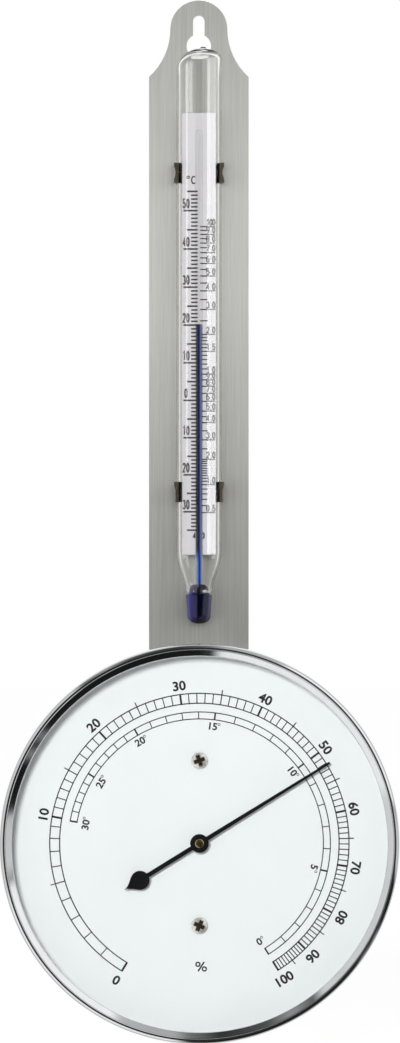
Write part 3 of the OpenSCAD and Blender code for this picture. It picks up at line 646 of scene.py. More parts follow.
class Shape:
    """Corners of a mesh in millimetres, and its faces as lists of corner numbers."""

    def __init__(self, points: np.ndarray, faces: list[list[int]]) -> None:
        """Keeps the corners, shape (n, 3), and the faces."""
        self.points = np.asarray(points, float).reshape(-1, 3)
        self.faces = faces

    @staticmethod
    def grid(points: np.ndarray, closed: bool) -> "Shape":
        """Surface over a grid of points: face (i, j) joins points (i, j), (i, j+1), (i+1, j+1), (i+1, j).

        Args:
            points: Corners, shape (rows, columns, 3). The last column is always joined to the first.
            closed: Joins the last row to the first.

        Returns:
            The shape.
        """
        rows, columns = points.shape[:2]
        number = np.arange(rows * columns).reshape(rows, columns)
        down, right = np.roll(number, -1, 0), np.roll(number, -1, 1)
        quads = np.stack([number, right, np.roll(down, -1, 1), down], -1)
        return Shape(points, quads[: rows if closed else rows - 1].reshape(-1, 4).tolist())

    def capped(self, columns: int) -> "Shape":
        """Closes a grid with so many columns by its first and its last row.

        Args:
            columns: Number of the grid's columns.

        Returns:
            The shape itself.
        """
        first = list(range(columns))
        last = len(self.points) - columns
        self.faces += [first, [last + corner for corner in reversed(first)]]
        return self

    @staticmethod
    def joined(shapes: Iterable["Shape"]) -> "Shape":
        """One shape of several, which stay separate islands.

        Args:
            shapes: The shapes.

        Returns:
            The joined shape.
        """
        shapes = list(shapes)
        starts = np.cumsum([0] + [len(shape.points) for shape in shapes]).tolist()
        faces = [[start + corner for corner in face] for start, shape in zip(starts, shapes) for face in shape.faces]
        return Shape(np.concatenate([shape.points for shape in shapes]), faces)

    def on_sheet(self, drop: float) -> "Shape":
        """Drawing points (x, y, h) set in the model: (x, -h, y - drop)."""
        x, y, h = self.points.T
        return Shape(np.stack([x, -h, y - drop], 1), self.faces)

    def piece(self, name: str, finish: Finish, angle: float = 35.0) -> bpy.types.Object:
        """Makes the mesh object at the origin, in metres, with merged seams and outward faces.

        Args:
            name: The piece's name.
            finish: Its finish.
            angle: Edges sharper than this many degrees stay sharp.

        Returns:
            The object.
        """
        mesh = bpy.data.meshes.new(name)
        mesh.from_pydata((self.points * MM).tolist(), [], self.faces)
        return dressed(name, mesh, finish, angle)


def dressed(name: str, mesh: bpy.types.Mesh, finish: Finish, angle: float) -> bpy.types.Object:
    """Merges a mesh's doubles, turns its faces outward and smooths it.

    Args:
        name: The new object's name.
        mesh: The mesh in metres.
        finish: Its finish.
        angle: Edges sharper than this many degrees stay sharp.

    Returns:
        The object that carries the mesh.
    """
    stored = mesh.attributes.get("custom_normal")
    if stored is not None:
        mesh.attributes.remove(stored)
    work = bmesh.new()
    work.from_mesh(mesh)
    bmesh.ops.remove_doubles(work, verts=work.verts, dist=2e-7)
    bmesh.ops.dissolve_degenerate(work, edges=work.edges, dist=1e-8)
    bmesh.ops.recalc_face_normals(work, faces=work.faces)
    work.to_mesh(mesh)
    work.free()
    mesh.shade_smooth()
    mesh.set_sharp_from_angle(angle=math.radians(angle))
    mesh.materials.clear()
    mesh.materials.append(finish.material())
    made = bpy.data.objects.new(name, mesh)
    bpy.context.scene.collection.objects.link(made)
    return made


def rounded(r1: float, z1: float, r2: float, z2: float, power: float, steps: int) -> np.ndarray:
    """Quarter of a squashed circle from (r1, z1) to (r2, z2).

    The formula is r = r2 + (r1 - r2) cos(a) ** (2 / power), z = z1 + (z2 - z1) sin(a) ** (2 / power).

    Args:
        r1: Radius where the curve runs along z.
        z1: Height there.
        r2: Radius where it runs along r.
        z2: Height there.
        power: 2 for an ellipse, more for a squarer corner.
        steps: Number of steps.

    Returns:
        Points (r, z), shape (steps + 1, 2).
    """
    angle = np.linspace(0.0, math.pi / 2, steps + 1)
    wide = np.clip(np.cos(angle), 0.0, 1.0) ** (2 / power)
    high = np.clip(np.sin(angle), 0.0, 1.0) ** (2 / power)
    return np.stack([r2 + (r1 - r2) * wide, z1 + (z2 - z1) * high], 1)


def taper(r1: float, z1: float, r2: float, z2: float, steps: int) -> np.ndarray:
    """Drawn-out cone from (r1, z1) to (r2, z2): r = r2 + (r1 - r2) (1 - t ** 1.9) ** 1.7, z even in t.

    Args:
        r1: First radius.
        z1: Height there.
        r2: Last radius.
        z2: Height there.
        steps: Number of steps.

    Returns:
        Points (r, z), shape (steps + 1, 2).
    """
    t = np.linspace(0.0, 1.0, steps + 1)
    return np.stack([r2 + (r1 - r2) * (1 - t ** 1.9) ** 1.7, z1 + (z2 - z1) * t], 1)


def pear(foot: tuple[float, float], top: tuple[float, float], waist: tuple[float, float],
         collar: tuple[float, float], belly: tuple[float, float], low: float) -> np.ndarray:
    """Half section of a bulb, from its axis above to its axis below, with three rounded runs.

    Args:
        foot: Rim (r, z) of its flat upper face.
        top: Upper end of the run that widens from the stem.
        waist: Where that run meets the collar.
        collar: Where the widest part starts.
        belly: Where the rounded end starts.
        low: Lowest height.

    Returns:
        Points (r, z), shape (n, 2).
    """
    return np.concatenate([
        [[0.0, foot[1]], foot],
        rounded(*waist, *top, 2.2, 12)[::-1],
        rounded(*waist, *collar, 2.0, 6)[1:],
        rounded(*belly, 0.0, low, 2.2, 24),
    ])


def arc(centre: tuple[float, float], radius: float, start: float, end: float, steps: int) -> np.ndarray:
    """Points (r, z) on a circle from one angle to another, in degrees from the r axis."""
    angle = np.radians(np.linspace(start, end, steps + 1))
    return np.stack([centre[0] + radius * np.cos(angle), centre[1] + radius * np.sin(angle)], 1)


def straight(r: float, z1: float, z2: float, count: int) -> np.ndarray:
    """Points (r, z) at even steps from one height to another."""
    return np.stack([np.full(count, r), np.linspace(z1, z2, count)], 1)


def lathe(profile: np.ndarray, steps: int, centre: tuple[float, float] = (0.0, 0.0), closed: bool = True) -> Shape:
    """Revolves (r, z) about an upright axis: (x + r cos a, y + r sin a, z).

    Args:
        profile: Points (r, z).
        steps: Number of steps round the axis.
        centre: The axis, (x, y).
        closed: Joins the profile's end to its start.

    Returns:
        The surface.
    """
    angle = np.linspace(0.0, 2 * math.pi, steps, endpoint=False)[None, :]
    r, z = profile[:, :1], profile[:, 1:]
    points = np.stack([centre[0] + r * np.cos(angle), centre[1] + r * np.sin(angle), z + 0 * angle], -1)
    return Shape.grid(points, closed)


def clock_rays(degrees: "np.ndarray | Sequence[float]") -> np.ndarray:
    """Unit vectors (sin a, cos a) at clock angles from the top."""
    turn = np.radians(degrees)
    return np.stack([np.sin(turn), np.cos(turn)], 1)


def bow(x: float, y: float, rx: float, ry: float, first: float, last: float) -> np.ndarray:
    """An elliptic arc from one angle to another, in degrees, at most 15 degrees to a step."""
    turn = np.radians(np.linspace(first, last, int(abs(last - first) / 15) + 2))
    return np.stack([x + rx * np.cos(turn), y + ry * np.sin(turn)], 1)


def joined_line(*parts: "np.ndarray | list[list[float]]") -> np.ndarray:
    """One line from several."""
    return np.concatenate([np.array(part, float) for part in parts])


# Every figure in a box of 1 x 1, as lines and whether they are closed.
FIGURES: dict[str, list[tuple[np.ndarray, bool]]] = {
    "0": [(bow(0.5, 0.5, 0.5, 0.5, 0.0, 345.0), True)],
    "1": [(np.array([[0.2, 0.78], [0.62, 1.0], [0.62, 0.0]]), False)],
    "2": [(joined_line(bow(0.5, 0.72, 0.48, 0.28, 170.0, -35.0), [[0.0, 0.0], [1.0, 0.0]]), False)],
    "3": [(bow(0.48, 0.76, 0.42, 0.24, 160.0, -80.0), False), (bow(0.48, 0.27, 0.5, 0.27, 80.0, -160.0), False)],
    "4": [(np.array([[0.72, 0.0], [0.72, 1.0], [0.0, 0.28], [1.0, 0.28]]), False)],
    "5": [(joined_line([[0.92, 1.0], [0.14, 1.0], [0.05, 0.5]], bow(0.48, 0.32, 0.52, 0.32, 125.0, -160.0)), False)],
    "6": [(bow(0.5, 0.3, 0.5, 0.3, 0.0, 345.0), True), (bow(0.6, 0.35, 0.6, 0.65, 70.0, 180.0), False)],
    "7": [(np.array([[0.0, 1.0], [1.0, 1.0], [0.35, 0.0]]), False)],
    "8": [(bow(0.5, 0.76, 0.42, 0.24, 0.0, 345.0), True), (bow(0.5, 0.27, 0.5, 0.27, 0.0, 345.0), True)],
    "9": [(bow(0.5, 0.7, 0.5, 0.3, 0.0, 345.0), True), (bow(0.4, 0.65, 0.6, 0.65, -110.0, 0.0), False)],
    "C": [(bow(0.5, 0.5, 0.5, 0.5, 48.0, 312.0), False)],
}


class Printer:
    """Prints lines, rings and numbers as thin closed solids, in drawing points."""

    SUNK: float = 0.004
    THICK: float = 0.02
    FONT_CAPITAL: float = 0.69  # Height of a capital, as a share of the font's size.
    FONT_MIDDLE: float = 0.3455  # Height of its middle.

    def __init__(self, surface: float) -> None:
        """Starts an empty sheet.

        Args:
            surface: Height of the printed face above the wall.
        """
        self.low = surface - self.SUNK
        self.high = surface + self.THICK
        self.shapes: list[Shape] = []
        self.glyphs: dict[tuple[str, float], tuple[np.ndarray, list[list[int]]]] = {}

    def bars(self, start: np.ndarray, end: np.ndarray, width: float) -> None:
        """Straight bars from start to end: each corner is an end moved sideways by half the width.

        Args:
            start: First ends, shape (n, 2).
            end: Second ends, shape (n, 2).
            width: Width of every bar.
        """
        start, end = np.atleast_2d(start).astype(float), np.atleast_2d(end).astype(float)
        along = (end - start) / np.linalg.norm(end - start, axis=1, keepdims=True)
        side = np.stack([-along[:, 1], along[:, 0]], 1) * width / 2
        flat = np.stack([start - side, end - side, end + side, start + side], 1)
        low, high = (
            np.concatenate([flat, np.full(flat.shape[:2] + (1,), height)], -1) for height in (self.low, self.high)
        )
        points = np.concatenate([low, high], 1)
        cube = np.array([[3, 2, 1, 0], [4, 5, 6, 7], [0, 1, 5, 4], [1, 2, 6, 5], [2, 3, 7, 6], [3, 0, 4, 7]])
        faces = cube[None] + 8 * np.arange(len(points))[:, None, None]
        self.shapes.append(Shape(points, faces.reshape(-1, 4).tolist()))

    def ticks(self, first_x: "np.ndarray | float", last_x: float, y: np.ndarray, width: float) -> None:
        """Level bars at the heights y, from one x to another."""
        self.bars(np.stack([0 * y + first_x, y], 1), np.stack([0 * y + last_x, y], 1), width)

    def spokes(self, degrees: np.ndarray, inner: float, outer: float, width: float) -> None:
        """Ticks from one radius to another, at clock angles from the top."""
        ray = clock_rays(degrees)
        self.bars(ray * inner, ray * outer, width)

    def band(self, left: np.ndarray, right: np.ndarray, closed: bool) -> None:
        """A band between two lines.

        Args:
            left: Points of one edge, shape (n, 2).
            right: Points of the other edge, shape (n, 2).
            closed: Joins the last points to the first, or else the band gets end faces.
        """
        edges = ((left, self.low), (right, self.low), (right, self.high), (left, self.high))
        corners = [np.concatenate([edge, np.full((len(edge), 1), height)], 1) for edge, height in edges]
        shape = Shape.grid(np.stack(corners, 1), closed)
        self.shapes.append(shape if closed else shape.capped(4))

    def ring(self, radius: float, width: float, first: float, last: float) -> None:
        """A band along a circle between two clock angles, at most about a degree to a step.

        Args:
            radius: Radius of its middle line.
            width: Its width.
            first: First clock angle.
            last: Last clock angle.
        """
        ray = clock_rays(np.linspace(first, last, max(int(abs(last - first)), 4) + 1))
        self.band(ray * (radius - width / 2), ray * (radius + width / 2), False)

    def degree_mark(self, place: tuple[float, float], radius: float, width: float) -> None:
        """A small ring, as a degree sign or in a per cent sign."""
        ray = clock_rays(np.arange(0.0, 360.0, 15.0))
        self.band(np.array(place) + ray * (radius - width), np.array(place) + ray * radius, True)

    def stroke(self, line: np.ndarray, width: float, closed: bool) -> None:
        """A band of even width along a line.

        At each corner the edges lie along the mean m of both sideways directions, at half the width / (m . s)
        with s the next one. The least values keep the edges near the line where it turns sharply.

        Args:
            line: Corners of the line, shape (n, 2).
            width: Width of the stroke.
            closed: Whether the line returns to its start.
        """
        least_step, least_mean, least_cosine = 1e-9, 0.3, 0.5
        step = np.roll(line, -1, 0) - line
        step /= np.maximum(np.linalg.norm(step, axis=1, keepdims=True), least_step)
        before = np.roll(step, 1, 0)
        if not closed:
            step[-1], before[0] = before[-1], step[0]
        mean = step + before
        mean /= np.maximum(np.linalg.norm(mean, axis=1, keepdims=True), least_mean)
        side = np.stack([-mean[:, 1], mean[:, 0]], 1) / np.maximum((mean * step).sum(1, keepdims=True), least_cosine)
        self.band(line - side * width / 2, line + side * width / 2, closed)

    def figure(self, sign: str, place: tuple[float, float], wide: float, high: float, width: float) -> None:
        """A narrow figure drawn with strokes of even width, as on scales that are printed small.

        Args:
            sign: One of FIGURES' keys.
            place: Its middle.
            wide: Width over the strokes.
            high: Height over the strokes.
            width: Width of the strokes.
        """
        for line, closed in FIGURES[sign]:
            self.stroke(np.array(place) + (line - 0.5) * [wide - width, high - width], width, closed)

    def text(self, words: str, place: np.ndarray, height: float, turn: float, stretch: float, bold: float) -> None:
        """Numbers in the built-in font.

        Args:
            words: What to print.
            place: Middle of its width and of a capital's height.
            height: Height of a capital.
            turn: Clock angle by which the text leans.
            stretch: Factor on its width.
            bold: Growth of the strokes, as a share of the font's size.
        """
        if (words, bold) not in self.glyphs:
            self.glyphs[words, bold] = self.outline(words, bold)
        flat, faces = self.glyphs[words, bold]
        size = height / self.FONT_CAPITAL
        x, y = flat[:, 0] * size * stretch, (flat[:, 1] - self.FONT_MIDDLE) * size
        c, s = math.cos(math.radians(turn)), math.sin(math.radians(turn))
        h = np.where(flat[:, 2] > 0, self.high, self.low)
        self.shapes.append(Shape(np.stack([place[0] + c * x + s * y, place[1] - s * x + c * y, h], 1), faces))

    @staticmethod
    def outline(words: str, bold: float) -> tuple[np.ndarray, list[list[int]]]:
        """Corners and faces of a text of font size 1, extruded to both sides of zero.

        Args:
            words: What to print.
            bold: Growth of the strokes.

        Returns:
            Corners, shape (n, 3), and faces.
        """
        curve = bpy.data.curves.new("figures", "FONT")
        curve.body = words
        curve.align_x = "CENTER"
        curve.extrude = 0.01
        curve.offset = bold
        curve.resolution_u = 4
        holder = bpy.data.objects.new("figures", curve)
        bpy.context.scene.collection.objects.link(holder)
        bpy.context.view_layer.update()
        mesh = bpy.data.meshes.new_from_object(holder.evaluated_get(bpy.context.evaluated_depsgraph_get()))
        flat = np.zeros(len(mesh.vertices) * 3)
        mesh.vertices.foreach_get("co", flat)
        faces = [list(face.vertices) for face in mesh.polygons]
        bpy.data.objects.remove(holder)
        bpy.data.curves.remove(curve)
        bpy.data.meshes.remove(mesh)
        return flat.reshape(-1, 3), faces

    def piece(self, name: str, drop: float, slot: str) -> bpy.types.Object:
        """Everything printed, as one piece that rides on the frame.

        Args:
            name: Its name.
            drop: Distance from the hanging hole down to the drawing's origin.
            slot: Not used.

        Returns:
            The piece.
        """
        made = Shape.joined(self.shapes).on_sheet(drop).piece(name, Palette.INK, 30.0)
        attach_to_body(made, Body.FRAME.value)
        return made


def attach(piece: bpy.types.Object, body: Body, node: str) -> bpy.types.Object:
    """The piece rides on a body and stands for a node, which is hidden.

    Args:
        piece: The piece.
        body: What it rides on.
        node: The CAD node.

    Returns:
        The piece.
    """
    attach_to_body(piece, body.value)
    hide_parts(node)
    return piece


def smooth_copy(node: str, finish: Finish, angle: float = 28.0, bevel: float = 0.0) -> bpy.types.Object:
    """A merged, smoothed copy of a CAD node that stands for it.

    Args:
        node: The CAD node.
        finish: Its finish.
        angle: Edges sharper than this many degrees stay sharp.
        bevel: Width of the bevel on sharp edges, in millimetres, or 0.

    Returns:
        The copy, which rides where the node rides.
    """
    source = frame["nodes"][node]
    made = dressed(f"{node}_dressed", source.data.copy(), finish, angle)
    if bevel:
        worn = made.modifiers.new("worn_edges", "BEVEL")
        worn.width = bevel * MM
        worn.segments = 2
        worn.limit_method = "ANGLE"
        worn.angle_limit = math.radians(40.0)
        worn.harden_normals = True
    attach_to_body(made, source["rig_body"])
    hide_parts(node)
    return made


# ---- sub-assemblies


class Assembly(abc.ABC):
    """A part of the scene that makes its own pieces."""

    @abc.abstractmethod
    def build(self) -> list[bpy.types.Object]:
        """Makes the pieces and gives them in order."""


@dataclass
class HangingPlate(Assembly):
    """Steel strip with its keyhole, clips and rivets."""

    edge: float = 0.12

    def build(self) -> list[bpy.types.Object]:
        """Dresses the strip with worn edges, the clips in blackened steel and the rivets in nickel.

        Returns:
            The pieces in order.
        """
        return [
            smooth_copy("back_plate", Palette.PLATE, 30.0, self.edge),
            smooth_copy("upper_clip", Palette.SPRING, 40.0),
            smooth_copy("lower_clip", Palette.SPRING, 40.0),
            smooth_copy("clip_rivets", Palette.NICKEL),
        ]


@dataclass
class Thermometer(Assembly):
    """Glass tube with its capillary rod, bulb, spirit and opal scale plate."""

    axis_h: float = 7.65
    tube_r: float = 5.87
    wall: float = 0.9
    top: float = 1.2
    dome: float = 3.1
    dome_power: float = 2.9
    tip_x: float = 1.1
    tip_bells: tuple[tuple[float, float, int], ...] = ((0.62, 0.75, 4), (0.25, 2.2, 2))
    highest: float = -0.62
    lean: float = 0.085
    taper_top: float = 132.0
    neck_low: float = 142.5
    neck_r: float = 3.45
    neck_wall: float = 0.7
    bulb_low: float = 150.7
    bulb_end: float = 2.3
    bulb_end_r: float = 3.04
    bulb_wall: float = 0.34
    bulb_foot: float = 0.36
    rod_r: float = 0.95
    rod_top: float = 22.0
    column_r: float = 0.48
    level_len: float = 0.8
    reading: float = 20.2
    plate_front: float = 6.7
    steps: int = 96
    # Print: width, height and stroke of the figures, their places, and where the ticks start and end.
    degree_figure: tuple[float, float, float] = (0.96, 2.6, 0.38)
    pressure_figure: tuple[float, float, float] = (0.98, 1.9, 0.38)
    foot_figure: tuple[float, float, float] = (0.9, 1.75, 0.36)
    unit_figure: tuple[float, float, float] = (1.35, 2.2, 0.36)
    degree_x: tuple[float, float] = (-3.95, -2.93)
    nought_x: float = -3.44
    degree_up: float = 1.87
    pressure_x: tuple[float, float] = (2.35, 3.95)
    pressure_up: float = 1.15
    middle: float = 0.12
    ten_x: float = -4.15
    five_x: float = -3.18
    one_x: float = -2.06
    named_x: float = 4.4
    unnamed_x: float = 2.25
    print_top: float = -27.0
    print_low: float = -130.0
    dip_at: tuple[float, ...] = (1.0, 1.5, 2.0, 3.0, 4.0, 6.0)
    dip: tuple[float, ...] = (0.0, 0.9, 1.3, 1.1, 0.25, 0.0)

    def level(self, celsius: "np.ndarray | float") -> "np.ndarray | float":
        """Height of a temperature: -92.55 + 0.9743 T + 0.000266 T ** 2."""
        return -92.55 + 0.9743 * celsius + 0.000266 * celsius * celsius

    def pressure_level(self, pressure: np.ndarray) -> np.ndarray:
        """Height of a saturation vapour pressure in hPa, e = 6.112 exp(17.62 T / (243.12 + T)).

        T = 243.12 q / (17.62 - q) with q = ln(e / 6.112), and up to 1.3 mm lower round 2 hPa, as printed.

        Args:
            pressure: Pressures e.

        Returns:
            Their heights.
        """
        q = np.log(pressure / 6.112)
        return self.level(243.12 * q / (17.62 - q)) - np.interp(pressure, self.dip_at, self.dip)

    def build(self) -> list[bpy.types.Object]:
        """Builds the glass, the spirit and the scale."""
        return [self.jacket(), self.rod(), self.bulb(), *self.spirit(), *self.scale()]

    def revolved(self, name: str, profile: np.ndarray, steps: int, finish: Finish) -> bpy.types.Object:
        """Revolves a profile that starts and ends on the tube's axis about it."""
        return lathe(profile, steps, (0.0, -self.axis_h), False).piece(name, finish, 60.0)

    def jacket(self) -> bpy.types.Object:
        """Envelope: closed profile of outer and inner wall, revolved, with the sealed tip on the dome.

        Left of the axis the outside and the inside sink by lean * x ** 2 over the top. The tip is on the outside:
        the sum of two bells, high * exp(-(d / wide) ** power) at a distance d from its own axis.

        Returns:
            The piece.
        """
        shoulder = -self.top - self.dome
        run_low, run_high = -self.taper_top + 5, shoulder - 6
        inside, neck_in = self.tube_r - self.wall, self.neck_r - self.neck_wall
        outer = np.concatenate([
            [[neck_in, -self.neck_low], [self.neck_r, -self.neck_low]],
            taper(self.tube_r, -self.taper_top, self.neck_r, -self.neck_low + 0.5, 32)[::-1],
            straight(self.tube_r, run_low, run_high, 24),
            rounded(self.tube_r, shoulder, 0.0, -self.top, self.dome_power, 30),
        ])
        inner = np.concatenate([
            rounded(inside, shoulder, 0.0, -self.top - self.wall, self.dome_power, 30)[::-1],
            straight(inside, run_high, run_low, 24),
            taper(inside, -self.taper_top, neck_in, -self.neck_low + 0.6, 32),
        ])
        shape = lathe(np.concatenate([outer, inner]), self.steps, (0.0, -self.axis_h))
        x, y, z = shape.points.T
        far = np.hypot(x - self.tip_x, y + self.axis_h)
        rise = sum(high * np.exp(-((far / wide) ** power)) for high, wide, power in self.tip_bells)
        outside = z > -self.top - 0.75
        sink = self.lean * np.minimum(x, 0.0) ** 2 * np.clip((z + 10.0) / 6.0, 0.0, 1.0)
        shape.points[:, 2] = np.minimum(z - sink + np.where(outside, rise, 0.0), self.highest)
        made = shape.piece("glass_jacket_drawn", Palette.GLASS, 60.0)
        return attach(made, Body.FRAME, "glass_jacket")

    def rod(self) -> bpy.types.Object:
        """Solid glass rod with a rounded top.

        Returns:
            The piece.
        """
        foot = -self.neck_low + 2.2
        profile = np.concatenate([
            [[0.0, foot], [self.rod_r, foot]],
            straight(self.rod_r, foot + 1, -self.rod_top - 1.5, 40),
            rounded(self.rod_r, -self.rod_top - 0.9, 0.0, -self.rod_top, 2.0, 12),
        ])
        made = self.revolved("capillary_rod_drawn", profile, 64, Palette.GLASS)
        return attach(made, Body.FRAME, "capillary_rod")

    def bulb(self) -> bpy.types.Object:
        """Outer skin of the bulb below the neck.

        Returns:
            The piece.
        """
        stem = (self.rod_r, -self.neck_low + 2.2)
        profile = pear(
            stem, stem, (self.neck_r - 0.85, -self.neck_low), (self.neck_r - 0.05, -self.neck_low - 0.6),
            (self.bulb_end_r, -self.bulb_low + self.bulb_end), -self.bulb_low,
        )
        made = self.revolved("bulb_blown", profile, self.steps, Palette.GLASS)
        return attach(made, Body.FRAME, "bulb")

    def spirit(self) -> list[bpy.types.Object]:
        """Spirit, dyed blue and coloured with painted light across x: the bulb's fill, the column, and the top that
        rises, with a hollow meniscus.

        Returns:
            The three pieces.
        """
        foot = -self.neck_low + 1.6
        profile = pear(
            (0.4, foot), (0.6, foot - 0.1), (self.neck_r - 1.1, -self.neck_low - 0.1),
            (self.neck_r - 0.4, -self.neck_low - 0.7),
            (self.bulb_end_r - self.bulb_wall, -self.bulb_low + self.bulb_end), -self.bulb_low + self.bulb_foot,
        )
        fill = self.revolved("bulb_spirit_filled", profile, 64, Palette.SPIRIT)
        attach(fill, Body.FRAME, "bulb_spirit")
        top = float(self.level(self.reading))
        joint = top - self.level_len
        profile = np.concatenate([[[0.0, foot]], straight(self.column_r, foot, joint, 60), [[0.0, joint]]])
        column = self.revolved("spirit_column_drawn", profile, 32, Palette.COLUMN)
        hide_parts("spirit_column")
        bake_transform(column)
        hollow = [[0.3, top - 0.12], [0.15, top - 0.18], [0.0, top - 0.2]]
        profile = np.array([[0.0, joint], [self.column_r, joint], [self.column_r, top], *hollow])
        level = self.revolved("spirit_level_drawn", profile, 32, Palette.COLUMN)
        return [fill, column, attach(level, Body.SPIRIT, "spirit_level")]

    def scale(self) -> list[bpy.types.Object]:
        """Dresses the opal plate and prints degrees Celsius on its left and vapour pressures on its right.

        Returns:
            The plate and its print.
        """
        opal = smooth_copy("scale_plate", Palette.OPAL, 30.0, 0.06)
        sheet = Printer(self.plate_front)
        self.degrees(sheet)
        self.pressures(sheet)
        return [opal, sheet.piece("thermometer_scale_print", 0.0, "opal_glass")]

    def degrees(self, sheet: Printer) -> None:
        """Left-hand scale in degrees Celsius, its unit above and the last degree's figures below.

        Args:
            sheet: The print.
        """
        degree = np.arange(-35, 56)
        z = self.level(degree)
        shown = (z < self.print_top) & (z > self.print_low)
        degree, z = degree[shown], z[shown]
        ends = np.where(degree % 10 == 0, self.ten_x, np.where(degree % 5 == 0, self.five_x, self.one_x))
        for major, width in ((False, 0.44), (True, 0.46)):
            chosen = (degree % 5 == 0) == major
            sheet.ticks(ends[chosen], -self.middle, z[chosen], width)
        for ten in range(-30, 51, 10):
            places = self.degree_x if ten else (self.nought_x,)
            for x, sign in zip(places, str(abs(ten))):
                sheet.figure(sign, (x, self.level(ten) + self.degree_up), *self.degree_figure)
        sheet.figure("C", (-1.42, -35.2), *self.unit_figure)
        sheet.degree_mark((-2.86, -34.5), 0.46, 0.3)
        for x, sign in ((-1.2, "4"), (1.1, "0")):
            sheet.figure(sign, (x, -127.75), *self.foot_figure)

    def pressures(self, sheet: Printer) -> None:
        """Right-hand scale of saturation vapour pressures in hPa.

        Args:
            sheet: The print.
        """
        unnamed = [np.arange(5, 20) / 10, np.arange(4, 10) / 2, np.arange(5, 20), np.arange(20, 101, 5)]
        sheet.ticks(self.middle, self.unnamed_x, self.pressure_level(np.concatenate(unnamed)), 0.32)
        named = [0.5, *range(1, 11), 15, 20, *range(30, 101, 10)]
        z = self.pressure_level(np.array(named))
        sheet.ticks(self.middle, self.named_x, z, 0.3)
        for pressure, height in zip(named, z.tolist()):
            words = f"{pressure:.1f}" if pressure < 10 else str(pressure)
            digits = words.replace(".", "")
            for x, digit in zip(np.linspace(*self.pressure_x, len(digits)).tolist(), digits):
                sheet.figure(digit, (x, height + self.pressure_up), *self.pressure_figure)
            if "." in words:
                sheet.bars([[3.05, height + 0.36]], [[3.3, height + 0.36]], 0.25)


@dataclass
class Case(Assembly):
    """Drawn can, bezel, front glass and rubber ring."""

    glass_front: float = 29.5
    lip_t: float = 0.8
    bezel_r: float = 51.5
    lip_r: float = 48.3
    band: float = 27.0
    crest_r: float = 0.2
    crest_inset: float = 1.4
    front_r: float = 1.1
    roll_r: float = 0.75
    skirt_in: float = 49.95
    skirt_len: float = 8.5

    def build(self) -> list[bpy.types.Object]:
        """Builds the bezel and dresses the rest.

        Returns:
            The pieces in order.
        """
        rest = {
            "case_shell": Palette.CAN, "case_screws": Palette.NICKEL, "crystal": Palette.PANE,
            "crystal_gasket": Palette.RUBBER,
        }
        return [self.bezel()] + [smooth_copy(node, finish, 30.0) for node, finish in rest.items()]

    def bezel(self) -> bpy.types.Object:
        """Closed section of arcs and straights: lip, sloping band, crest, crease, round edge, skirt.

        Returns:
            The piece.
        """
        slope = np.array([math.cos(math.radians(self.band)), math.sin(math.radians(self.band))])
        square = np.array([-slope[1], slope[0]])
        edge_r = self.lip_t / 2
        edge = np.array([self.lip_r + edge_r, self.glass_front + edge_r])
        start = edge + (edge_r - self.crest_r) * square
        crest_x = self.bezel_r - self.crest_inset - self.crest_r
        crest = start + (crest_x - start[0]) / slope[0] * slope
        front = (self.bezel_r - self.front_r, self.glass_front)
        crease = math.degrees(math.acos((crest[0] + self.crest_r - front[0]) / self.front_r))
        rear = self.glass_front - self.skirt_len
        profile = np.concatenate([
            arc(tuple(edge), edge_r, 270.0, 90.0 + self.band, 12),
            arc(tuple(crest), self.crest_r, 90.0 + self.band, 0.0, 8),
            arc(front, self.front_r, crease, 0.0, 14),
            arc((self.bezel_r - self.roll_r, rear + self.roll_r), self.roll_r, 0.0, -90.0, 8),
            [[self.skirt_in, rear], [self.skirt_in, self.glass_front]],
        ])
        made = lathe(profile, 360).on_sheet(DIAL_DROP).piece("bezel_spun", Palette.CHROME, 32.0)
        return attach(made, Body.FRAME, "bezel")


